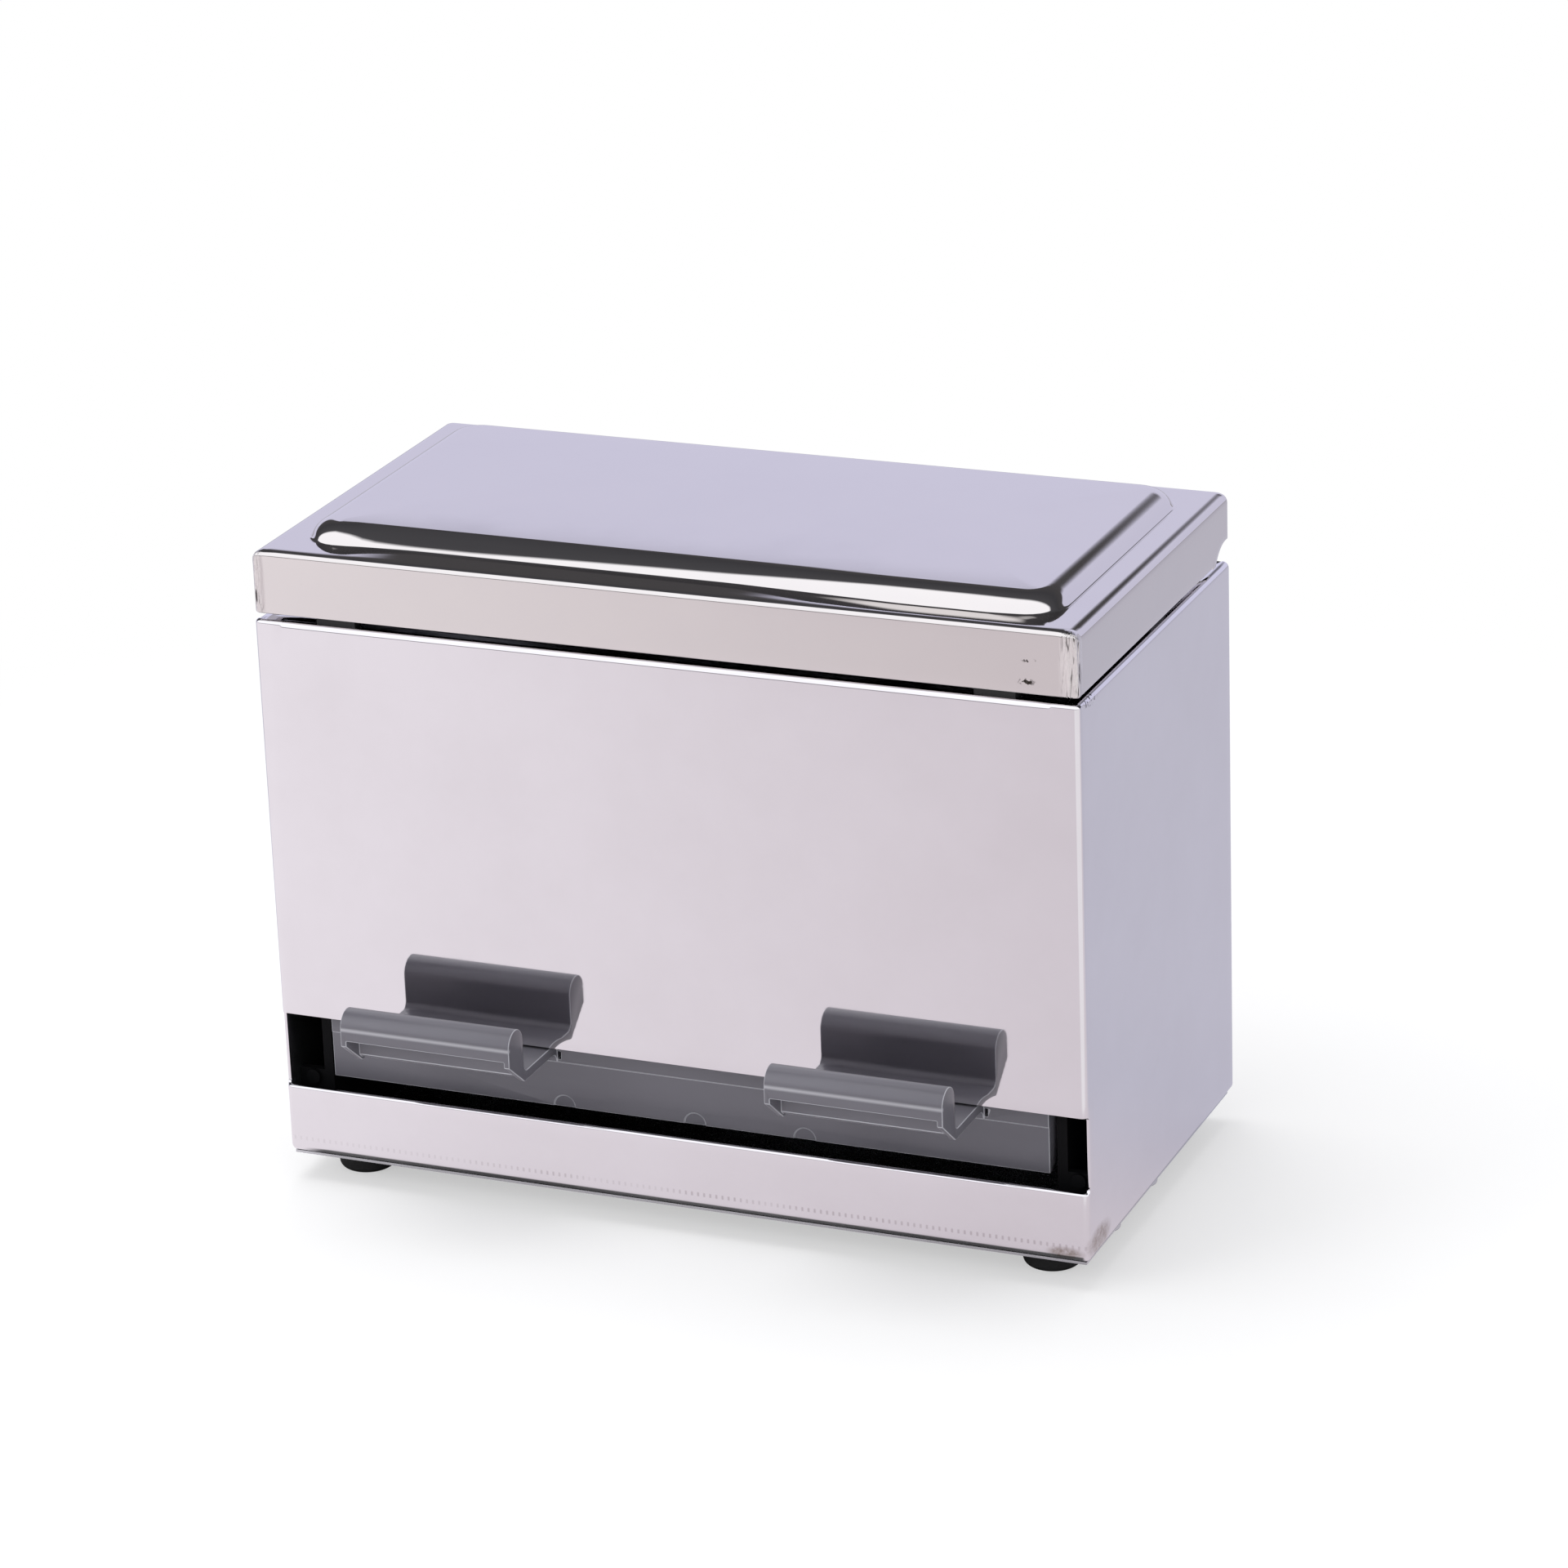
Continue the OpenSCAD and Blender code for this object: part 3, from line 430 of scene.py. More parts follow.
@dataclass(frozen=True)
class PolishedStainless:
    """304 stainless sheet, cold rolled and buffed: almost a mirror, with a faint upright grain.

    The grain only shows as a slight spread of reflections; fingers and cloths leave dull smears.
    """

    name: str
    colour: str = "#E3E1E3"
    roughness: float = 0.035
    heat: tuple[Mark, ...] = ()
    scuffs: tuple[Mark, ...] = ()
    seams: tuple[Mark, ...] = ()
    weld_line_z: float | None = None
    tick_pitch: float = 1.9
    smeared: str = "#CFCBCC"
    heat_tint: str = "#9C928B"
    pit_tint: str = "#38342F"
    furrow_tint: str = "#3A3634"
    tick_tint: str = "#A8A0A2"

    def weld_line(self, tree: bpy.types.NodeTree, place: Any, worn: Any, colour: Any) -> Any:
        """Lay a faint row of seam-weld ticks along x at one height."""
        parts = add_node(tree, "SeparateXYZ", {0: place})
        band = level_band(tree, parts, self.weld_line_z, 0.4, 1.0)
        turns = 2 * math.pi / (self.tick_pitch * MM)
        beat = add_node(
            tree, "Math", {0: parts.outputs["X"], 1: turns}, operation="MULTIPLY"
        )
        wave = add_node(tree, "Math", {0: beat}, operation="SINE")
        tick = add_node(tree, "MapRange", {0: wave, 1: 0.1, 2: 0.9, 3: 0.0, 4: 0.5})
        gaps = add_node(tree, "MapRange", {0: worn, 1: 0.42, 2: 0.58, 3: 0.25, 4: 1.0})
        row = add_node(tree, "Math", {0: band, 1: tick}, operation="MULTIPLY")
        return stain_and_highlight(tree, colour, row, gaps, self.tick_tint)

    def build(self) -> bpy.types.Material:
        """Make the node material."""
        material, tree = new_material(self.name)
        place = add_node(tree, "TexCoord").outputs["Object"]
        # upright grain: about 0.4 mm across and 60 mm long, coarser than real grit so it shows
        stretched = add_node(tree, "Mapping", {"Vector": place, "Scale": (2400, 2400, 16)})
        grain = add_node(
            tree, "TexNoise", {"Vector": stretched, "Scale": 1.0, "Detail": 4.0, "Roughness": 0.6}
        )
        # smears: about 36 mm across
        smears = add_node(
            tree, "TexNoise", {"Vector": place, "Scale": 28.0, "Detail": 5.0, "Roughness": 0.62}
        )
        dull = add_node(tree, "MapRange", {0: smears, 1: 0.48, 2: 0.75, 3: 0.0, 4: 0.04})
        low, high = self.roughness * 0.75, self.roughness * 1.35
        rough = add_node(tree, "MapRange", {0: grain, 1: 0.3, 2: 0.7, 3: low, 4: high})
        total = add_node(tree, "Math", {0: rough, 1: dull}, operation="ADD")
        clear = add_node(tree, "MapRange", {0: smears, 1: 0.35, 2: 0.75, 3: 1.0, 4: 0.80})
        colour = add_node(
            tree,
            "Mix",
            {"Factor": clear, 6: linear(self.smeared), 7: linear(self.colour)},
            data_type="RGBA",
        )
        if self.heat:
            # straw-brown film that welding leaves on stainless, in patches of about 1.4 mm
            inputs = {"Vector": place, "Scale": 700.0, "Detail": 4.0, "Roughness": 0.7}
            fine = add_node(tree, "TexNoise", inputs)
            patchy = add_node(tree, "MapRange", {0: fine, 1: 0.3, 2: 0.62, 3: 0.35, 4: 1.0})
            near = marked(tree, place, self.heat)
            colour = stain_and_highlight(tree, colour, near, patchy, self.heat_tint)
        if self.scuffs:
            # pits and rubbed specks of about 1 mm, dark where the noise passes a threshold
            inputs = {"Vector": place, "Scale": 900.0, "Detail": 2.0, "Roughness": 0.5}
            speck = add_node(tree, "TexNoise", inputs)
            pits = add_node(tree, "MapRange", {0: speck, 1: 0.56, 2: 0.62, 3: 0.0, 4: 1.0})
            near = marked(tree, place, self.scuffs)
            colour = stain_and_highlight(tree, colour, near, pits, self.pit_tint)
        if self.weld_line_z is not None:
            colour = self.weld_line(tree, place, smears, colour)
        normal = add_node(tree, "Bump", {"Height": grain, "Strength": 0.06, "Distance": 0.00002})
        if self.seams:
            # ground weld: upright waves, about 1 mm across, beside the corner
            near = marked(tree, place, self.seams)
            wavy = add_node(tree, "Mapping", {"Vector": place, "Scale": (900, 900, 110)})
            waves = add_node(
                tree, "TexNoise", {"Vector": wavy, "Scale": 1.0, "Detail": 3.0, "Distortion": 1.2}
            )
            height = add_node(tree, "Math", {0: waves, 1: near}, operation="MULTIPLY")
            furrow = add_node(tree, "MapRange", {0: waves, 1: 0.46, 2: 0.36, 3: 0.0, 4: 1.0})
            colour = stain_and_highlight(tree, colour, near, furrow, self.furrow_tint)
            normal = add_node(
                tree,
                "Bump",
                {"Height": height, "Normal": normal, "Strength": 1.0, "Distance": 0.0009},
            )
        shader = add_node(
            tree,
            "BsdfPrincipled",
            {"Base Color": colour, "Roughness": total, "Normal": normal, "Metallic": 1.0},
        )
        add_node(tree, "OutputMaterial", {"Surface": shader})
        return material


@dataclass(frozen=True)
class PlainMetal:
    """Mill-finish sheet or turned steel: duller than the outside, with a fine even grain."""

    name: str
    colour: str
    roughness: float
    grain_mm: float = 0.5

    def build(self) -> bpy.types.Material:
        """Make the node material."""
        material, tree = new_material(self.name)
        place = add_node(tree, "TexCoord").outputs["Object"]
        scale = 1000 / self.grain_mm
        grain = add_node(tree, "TexNoise", {"Vector": place, "Scale": scale, "Detail": 3.0})
        low, high = self.roughness * 0.8, self.roughness * 1.2
        rough = add_node(tree, "MapRange", {0: grain, 1: 0.3, 2: 0.7, 3: low, 4: high})
        # slow change of tone, about 17 mm across
        tone = add_node(tree, "TexNoise", {"Vector": place, "Scale": 60.0, "Detail": 4.0})
        base = linear(self.colour)[:3]
        darker = (*(part * 0.92 for part in base), 1.0)
        paler = (*(min(part * 1.06, 1.0) for part in base), 1.0)
        colour = add_node(tree, "Mix", {"Factor": tone, 6: darker, 7: paler}, data_type="RGBA")
        bump = add_node(tree, "Bump", {"Height": grain, "Strength": 0.15, "Distance": 0.00004})
        shader = add_node(
            tree,
            "BsdfPrincipled",
            {"Base Color": colour, "Roughness": rough, "Normal": bump, "Metallic": 1.0},
        )
        add_node(tree, "OutputMaterial", {"Surface": shader})
        return material


@dataclass(frozen=True)
class Moulded:
    """A moulded polymer: ABS, nylon or rubber, with flow clouds and the skin of its mould."""

    name: str
    colour: str
    cloud: str
    roughness: float
    skin_mm: float = 0.35
    skin_depth: float = 0.00002
    specular: float = 0.5
    painted_highlight_z: float | None = None
    painted_highlight_tint: str = "#D5D5DA"

    def paint_highlight_line(self, tree: bpy.types.NodeTree, place: Any, colour: Any) -> bpy.types.Node:
        """Draw a painted highlight: a pale line along the hooks' faces where the mould splits."""
        parts = add_node(tree, "SeparateXYZ", {0: place})
        band = level_band(tree, parts, self.painted_highlight_z, 0.1, 0.42)
        ahead = add_node(
            tree, "MapRange", {0: parts.outputs["Y"], 1: -0.0765, 2: -0.0770, 3: 0.0, 4: 1.0}
        )
        return stain_and_highlight(tree, colour, band, ahead, self.painted_highlight_tint)

    def build(self) -> bpy.types.Material:
        """Make the node material."""
        material, tree = new_material(self.name)
        place = add_node(tree, "TexCoord").outputs["Object"]
        # melt flows along the long way of the part: clouds 8 mm high, drawn out along x
        drawn = add_node(tree, "Mapping", {"Vector": place, "Scale": (0.35, 1.0, 1.0)})
        clouds = add_node(
            tree, "TexNoise", {"Vector": drawn, "Scale": 120.0, "Detail": 5.0, "Roughness": 0.6}
        )
        colour = add_node(
            tree,
            "Mix",
            {"Factor": clouds, 6: linear(self.cloud), 7: linear(self.colour)},
            data_type="RGBA",
        )
        # painted highlight: a pale line along the hooks' faces at the mould's split
        if self.painted_highlight_z is not None:
            colour = self.paint_highlight_line(tree, place, colour)
        scale = 1000 / self.skin_mm
        skin = add_node(tree, "TexNoise", {"Vector": place, "Scale": scale, "Detail": 3.0})
        low, high = self.roughness * 0.94, self.roughness * 1.06
        rough = add_node(tree, "MapRange", {0: clouds, 1: 0.3, 2: 0.7, 3: low, 4: high})
        bump = add_node(
            tree, "Bump", {"Height": skin, "Strength": 0.25, "Distance": self.skin_depth}
        )
        shader = add_node(
            tree,
            "BsdfPrincipled",
            {
                "Base Color": colour,
                "Roughness": rough,
                "Normal": bump,
                "Specular IOR Level": self.specular,
            },
        )
        add_node(tree, "OutputMaterial", {"Surface": shader})
        return material


# ---------------------------------------------------------------- pieces


# how far in from the lid's edge its rings lie: on the border, round the crease, on the panel
BORDER_RINGS = [7.5, 6.4, 5.6, 4.9, 4.4, 4.0, 3.6]
CREASE_RINGS = [10.7, 10.45, 10.25, 10.1, 9.95, 9.8, 9.6, 9.4, 9.1, 8.7]
PANEL_RINGS = [44.0, 30.0, 20.0, 12.0, 6.0, 2.5, 0.8]
# share of the border's fall, and of the slope's flattening, along x
FALL = ([-104.0, -80.0, 20.0, 70.0], [0.0, 1.0, 1.0, -0.6])
FLATTER = ([-60.0, 60.0], [0.62, 0.0])


@dataclass
class PressedLid:
    """The lid: a pressed sheet with a raised panel, welded corners and a turned-in lip."""

    half_w: float = 124.65
    front: float = 0.35
    back: float = 129.05
    low: float = 167.8
    top: float = 186.8
    sheet: float = 0.7
    front_r: float = 1.8
    side_r: float = 3.4
    corner_r: float = 1.4
    border: float = 10.0
    tilt: float = 0.55
    rise: float = 5.1
    slope: float = 62.0
    round_r: float = 7.0
    dome: float = 0.7
    dome_run: float = 48.0
    crease_round: float = 0.3
    fall_from: float = 1.8
    fall_fade: float = 4.0
    end_fade: float = 9.0
    foot_r: float = 11.0
    crown_r: float = 4.5
    lip: float = 5.5
    fold_r: float = 0.8
    lip_end: float = 114.65
    hinge_y: float = 126.15
    notch_z: float = 162.6
    notch_r: float = 10.5

    def outline(self) -> Outline:
        """The lid's outline, with columns where the lip ends and along the round notch."""
        mid, reach = (self.front + self.back) / 2, (self.back - self.front) / 2 - self.corner_r
        start = self.hinge_y - math.sqrt(self.notch_r**2 - (self.low - self.notch_z) ** 2)
        # the notch is an arc, so its columns are spaced by the arc's own angle
        angles = np.linspace(math.acos((self.hinge_y - start) / self.notch_r), math.pi / 2, 12)
        notch = self.hinge_y - self.notch_r * np.cos(angles)
        plain = np.linspace(mid - reach, self.lip_end, 30)
        y = np.concatenate([plain, [self.lip_end + 0.02], notch, [mid + reach]])
        across = np.linspace(-1, 1, 49)
        return Outline(self.half_w, self.front, self.back, across, (y - mid) / reach)

    @property
    def run(self) -> float:
        """How far in the slope reaches from the crease to the edge of the raised panel."""
        turn = math.radians(self.slope)
        left = self.rise - self.round_r * (1 - math.cos(turn))
        return self.round_r * math.sin(turn) + left / math.tan(turn)

    def height(self, inset: float) -> float:
        """Height of the top at a distance in from the edge.

        The border is flat, the slope rises straight and rounds over into the raised panel, the
        panel is very slightly domed, and the crease is rounded by a smooth maximum.
        """
        turn = math.radians(self.slope)
        over = self.border + self.run - inset
        if over <= 0:
            share = min(-over / self.dome_run, 1.0)
            return self.top + self.rise + self.dome * share * (2 - share)
        if over <= self.round_r * math.sin(turn):
            slope = self.rise - self.round_r + math.sqrt(self.round_r**2 - over**2)
        else:
            slope = (inset - self.border) * math.tan(turn)
        if slope > 1.0:
            return self.top + slope
        return self.top + (slope + math.hypot(slope, self.crease_round)) / 2

    def warp(self, row: np.ndarray, inset: float) -> np.ndarray:
        """Work the front of the sheet as the press left it.

        The border falls forward, and near its right end it falls to the crease instead. The
        slope is flatter at the left than at the right.
        """
        inward = min(max((inset - self.fall_from) / (self.border - self.fall_from), 0.0), 1.0)
        gone = min(max((inset - self.border) / self.fall_fade, 0.0), 1.0)
        amount = self.tilt * inward * (1 - gone) ** 2
        fall = amount * np.interp(row[:, 0], *FALL)
        share = (inset - self.border) / self.run
        if 0 < share < 1:
            flat = self.top + self.rise * share - self.height(inset)
            fall += flat * np.interp(row[:, 0], *FLATTER)
        on_front = np.abs(row[:, 1] - self.front - inset) < 0.01
        reach = self.half_w - inset - self.corner(inset)
        ends = np.clip((reach - np.abs(row[:, 0])) / self.end_fade, 0.0, 1.0)
        raised = row.copy()
        raised[:, 2] += fall * on_front * ends * ends * (3 - 2 * ends)
        return raised

    def corner(self, inset: float) -> float:
        """Corner radius of the ring at a distance in from the edge."""
        if inset < self.border:
            share = (inset / self.border) ** 2
            return self.corner_r + (self.foot_r - self.corner_r) * share
        share = (inset - self.border) / self.run
        return max(self.foot_r + (self.crown_r - self.foot_r) * share, 2.0)

    def build(self, finish: bpy.types.Material, inside: bpy.types.Material) -> bpy.types.Object:
        """Make the lid's sheet and the lip under it."""
        line = self.outline()
        sheet = Sheet()
        rows = []
        inner = list(self.border + self.run + np.array(PANEL_RINGS))
        slope = list(self.border + self.run * np.linspace(1, 0.12, 20))
        for inset in inner + slope + CREASE_RINGS + BORDER_RINGS:
            z = self.height(inset)
            rows.append(self.warp(line.ring([inset] * 3, self.corner(inset), [z] * 3), inset))
        radii = np.array([self.front_r, self.side_r, self.front_r])
        for bend in np.linspace(0, math.pi / 2, 9):
            heights = self.top - radii * (1 - math.cos(bend))
            rows.append(line.ring(radii * (1 - math.sin(bend)), self.corner_r, heights))
        wall = rows[-1]
        runs = line.runs()
        on_side = (runs == 0) | (runs == 4)
        has_lip = ((runs >= 1) & (runs <= 3)) | (on_side & (wall[:, 1] <= self.lip_end + 0.01))
        # lower edge: flat, then the round notch, then the short rear skirt
        lift = np.sqrt(np.maximum(self.notch_r**2 - (wall[:, 1] - self.hinge_y) ** 2, 0))
        skirt = self.notch_z + self.notch_r
        notched = np.where(wall[:, 1] >= self.hinge_y, skirt, self.notch_z + lift)
        edge = np.where(on_side, np.maximum(notched, self.low), self.low)
        edge = np.where(runs >= 5, skirt, edge)
        edge = np.where(has_lip, self.low + self.fold_r, edge)
        for share in np.linspace(0, 1, 7)[1:]:
            row = wall.copy()
            row[:, 2] = wall[:, 2] + (edge - wall[:, 2]) * share
            rows.append(row)
        start = sheet.grid(np.array(rows), closed=True)
        sheet.faces.append([start + i for i in range(len(wall))][::-1])
        lip_rows = [rows[-1][has_lip]]
        for bend in np.linspace(0, math.pi / 2, 5)[1:]:
            inset = self.fold_r * (1 - math.cos(bend))
            z = self.low + self.fold_r * (1 - math.sin(bend))
            ring = line.ring([inset] * 3, max(self.corner_r - inset, 0.1), [z] * 3)
            lip_rows.append(ring[has_lip])
        lip_rows.append(line.ring([self.lip] * 3, 0.1, [self.low] * 3)[has_lip])
        lip = np.array(lip_rows)
        # the side lips end square, so their ends keep the wall's y
        for row in lip[1:]:
            sides = np.abs(row[:, 1] - row[:, 1].clip(self.corner_r, self.lip_end)) < 1e-6
            row[sides, 1] = np.minimum(row[sides, 1], self.lip_end)
        sheet.grid(lip, closed=False)
        obj = sheet.object("lid_pressing", weld=0.002)
        thicken(obj, self.sheet, finish, inside)
        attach(obj, Body.LID.value)
        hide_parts("lid_shell")
        return obj


# heights of the body's rings above its slot and below it
WALL_RINGS = (158, 140, 120, 100, 80, 60, 48)
STRIP_RINGS = (17, 12, 6)


@dataclass
class FoldedBody:
    """The body: sides and front in one folded sheet, with rim, flanges and the long slot."""

    half_w: float = 125.0
    depth: float = 129.4
    high: float = 166.0
    sheet: float = 0.8
    bend_r: float = 2.0
    rim: float = 6.0
    flange: float = 12.0
    slot_low: float = 21.3
    slot_high: float = 44.3
    slot_r: float = 1.4
    roll_r: float = 0.9
    tab: float = 8.5
    tab_r: float = 1.25

    def outline(self) -> Outline:
        """The outline, with columns where the tabs of the front rim end."""
        reach = self.half_w - self.bend_r
        tab = (self.half_w - self.tab) / reach
        middle = np.linspace(-(tab - 0.004), tab - 0.004, 51)
        ends = np.array([tab + 0.002, 0.5 + tab / 2, 1.0])
        across = np.concatenate([-ends[::-1], middle, ends])
        along = np.linspace(-1, 1, 33)
        return Outline(self.half_w, 0.0, self.depth, across, along, 10)

    def rim_rows(self, line: Outline, radius: float) -> list[np.ndarray]:
        """Rings from the inner edge of the rim over a bend of a radius to the wall."""
        top = self.high
        rows = []
        for inset in (self.rim, (self.rim + radius) / 2, radius + 0.15):
            rows.append(line.ring([inset] * 3, max(self.bend_r - inset, 0.02), [top] * 3))
        for bend in np.linspace(0, math.pi / 2, 9):
            inset = radius * (1 - math.sin(bend))
            z = top - radius * (1 - math.cos(bend))
            rows.append(line.ring([inset] * 3, max(self.bend_r - inset, 0.02), [z] * 3))
        return rows

    def build(self, finish: bpy.types.Material, inside: bpy.types.Material) -> bpy.types.Object:
        """Make the folded sheet with its slot."""
        line = self.outline()
        runs = line.runs()
        wide = np.array(self.rim_rows(line, self.bend_r))
        tight = np.array(self.rim_rows(line, self.tab_r))
        wall = line.ring([0.0] * 3, self.bend_r, [0.0] * 3)
        # the tabs at the ends of the front rim are bent tighter than the rim itself
        on_tab = np.isin(runs, [1, 3])
        on_tab |= (runs == 2) & (np.abs(wall[:, 0]) > self.half_w - self.tab)
        rows = list(np.where(on_tab[None, :, None], tight, wide))
        # the slot's ends are rounded where it runs into the side walls
        arc = self.bend_r * np.radians(90 * np.linspace(0, 1, line.corner_steps + 1)[1:-1])
        from_side = np.full(len(wall), self.slot_r)
        from_side[runs == 1] = arc
        from_side[runs == 3] = arc[::-1]
        from_side[np.flatnonzero(runs == 0)[-1]] = 0.0
        from_side[np.flatnonzero(runs == 4)[0]] = 0.0
        short = np.clip(self.slot_r - from_side, 0, self.slot_r)
        lift = self.slot_r - np.sqrt(np.maximum(self.slot_r**2 - short**2, 0))
        levels = [(z, 0.0) for z in WALL_RINGS]
        slot_row = len(rows) + len(levels)
        levels += [(self.slot_high, -1.0), (self.slot_low, 1.0)]
        levels += [(z, 0.0) for z in (*STRIP_RINGS, self.bend_r)]
        for z, way in levels:
            row = wall.copy()
            row[:, 2] = z + way * lift
            rows.append(row)
        # the strip's upper edge is rolled over a little, which is what catches the light
        in_slot = np.isin(runs, [1, 2, 3])
        rolled = []
        for bend in np.linspace(math.pi / 2, 0, 5)[:-1]:
            inset = self.roll_r * (1 - math.cos(bend))
            row = line.ring([inset] * 3, self.bend_r - inset, [0.0] * 3)
            row = np.where(in_slot[:, None], row, wall)
            drop = self.roll_r * (1 - math.sin(bend))
            row[:, 2] = self.slot_low + lift - drop
            rolled.append(row)
        rows[slot_row + 1][:, 2] -= self.roll_r
        rows[slot_row + 1 : slot_row + 1] = rolled
        for bend in np.linspace(0, math.pi / 2, 7)[1:]:
            inset = self.bend_r * (1 - math.cos(bend))
            z = self.bend_r * (1 - math.sin(bend))
            rows.append(line.ring([inset] * 3, max(self.bend_r - inset, 0.02), [z] * 3))
        rows.append(line.ring([self.flange] * 3, 0.02, [0.0] * 3))
        grid = np.array(rows)
        # the rear is open between the returns, which reach in no further than the rim
        first, last = np.flatnonzero(runs == 6)[[0, -1]]
        for column in (first, last):
            x = grid[:, column, 0]
            grid[:, column, 0] = np.sign(x) * np.maximum(np.abs(x), self.half_w - self.rim)
        order = np.concatenate([np.arange(last, len(wall)), np.arange(first + 1)])
        slotted = in_slot[order]
        keep = np.ones((len(rows) - 1, len(order)), bool)
        keep[slot_row] = ~(slotted | np.roll(slotted, -1))
        sheet = Sheet()
        sheet.grid(grid[:, order], closed=False, keep=keep)
        obj = sheet.object("folded_body", weld=0.004)
        thicken(obj, self.sheet, finish, inside)
        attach(obj, Body.BOX.value)
        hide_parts("body_shell")
        return obj


@dataclass
class SoftEdges:
    """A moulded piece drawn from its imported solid, with the small edge rounds of its mould."""

    node: str
    name: str
    body: Body
    slot: Slot
    width: float

    def build(
        self, frame: dict[str, Any], face: bpy.types.Material, edge: bpy.types.Material
    ) -> bpy.types.Object:
        """Copy the solid, merge its triangles to flat faces and round the edges.

        Args:
            face: Finish of the faces.
            edge: Finish of the rounds between them, paler as a painted highlight.

        Returns:
            The finished piece.
        """
        obj = copy_of(frame, self.node, self.name, merge_degrees=0.5)
        dress(obj, face, edge)
        bevel = obj.modifiers.new("mould round", "BEVEL")
        bevel.width = self.width * MM
        bevel.segments = 2
        bevel.limit_method = "ANGLE"
        bevel.angle_limit = math.radians(32)
        bevel.use_clamp_overlap = False
        bevel.miter_outer = "MITER_ARC"
        # the rounds take the second finish; on the rocker it is paler, a painted highlight
        bevel.material = 1
        settle(obj)
        smooth(obj, 30)
        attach(obj, self.body.value)
        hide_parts(self.node)
        return obj


@dataclass
class ReturnSpring:
    """A torsion spring whose rear leg is carried round by the rocker's stud.

    The coil lies round the rocker's axis, so it winds up as the leg turns with the rocker. Both
    places are in mm of the drawing frame, and are not used.
    """

    node: str
    name: str
    axle_y: float = 40.0
    leg_y: float = 50.8

    def build(self, frame: dict[str, Any], finish: bpy.types.Material) -> bpy.types.Object:
        """Copy the spring, shade it smooth, give it its finish and hide the imported one."""
        obj = copy_of(frame, self.node, self.name)
        smooth(obj, 40)
        dress(obj, finish)
        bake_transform(obj)
        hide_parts(self.node)
        return obj


# ---------------------------------------------------------------- studio

# what metal sees along the arc over the object: 0 is the front horizon, 1 the rear one
SKY = (
    (0.0, (0.40, 0.38, 0.40)),
    (0.035, (0.42, 0.40, 0.42)),
    (0.06, (1.30, 1.31, 1.38)),
    (0.42, (1.34, 1.35, 1.42)),
    (0.47, (0.085, 0.085, 0.095)),
    (0.70, (0.06, 0.06, 0.068)),
    (0.852, (0.078, 0.075, 0.08)),
    (0.874, (0.775, 0.77, 0.98)),
    (1.0, (0.75, 0.745, 0.95)),
)
# painted light and shade on the floor, which only the metal's reflections see
PAINTED_FLOOR_LIGHT_LEFT = (1.0, 0.94, 1.0, 1.0)
PAINTED_FLOOR_SHADE_RIGHT = (0.76, 0.69, 0.75, 1.0)
PAINTED_FLOOR_SHADE_REAR = (0.55, 0.54, 0.66, 1.0)
PAINTED_FLOOR_GLINT = (0.96, 0.93, 0.97, 1.0)
PAINTED_FLOOR_SHADOW = (0.01, 0.01, 0.011, 1.0)
WHITE = (1.0, 1.0, 1.0, 1.0)


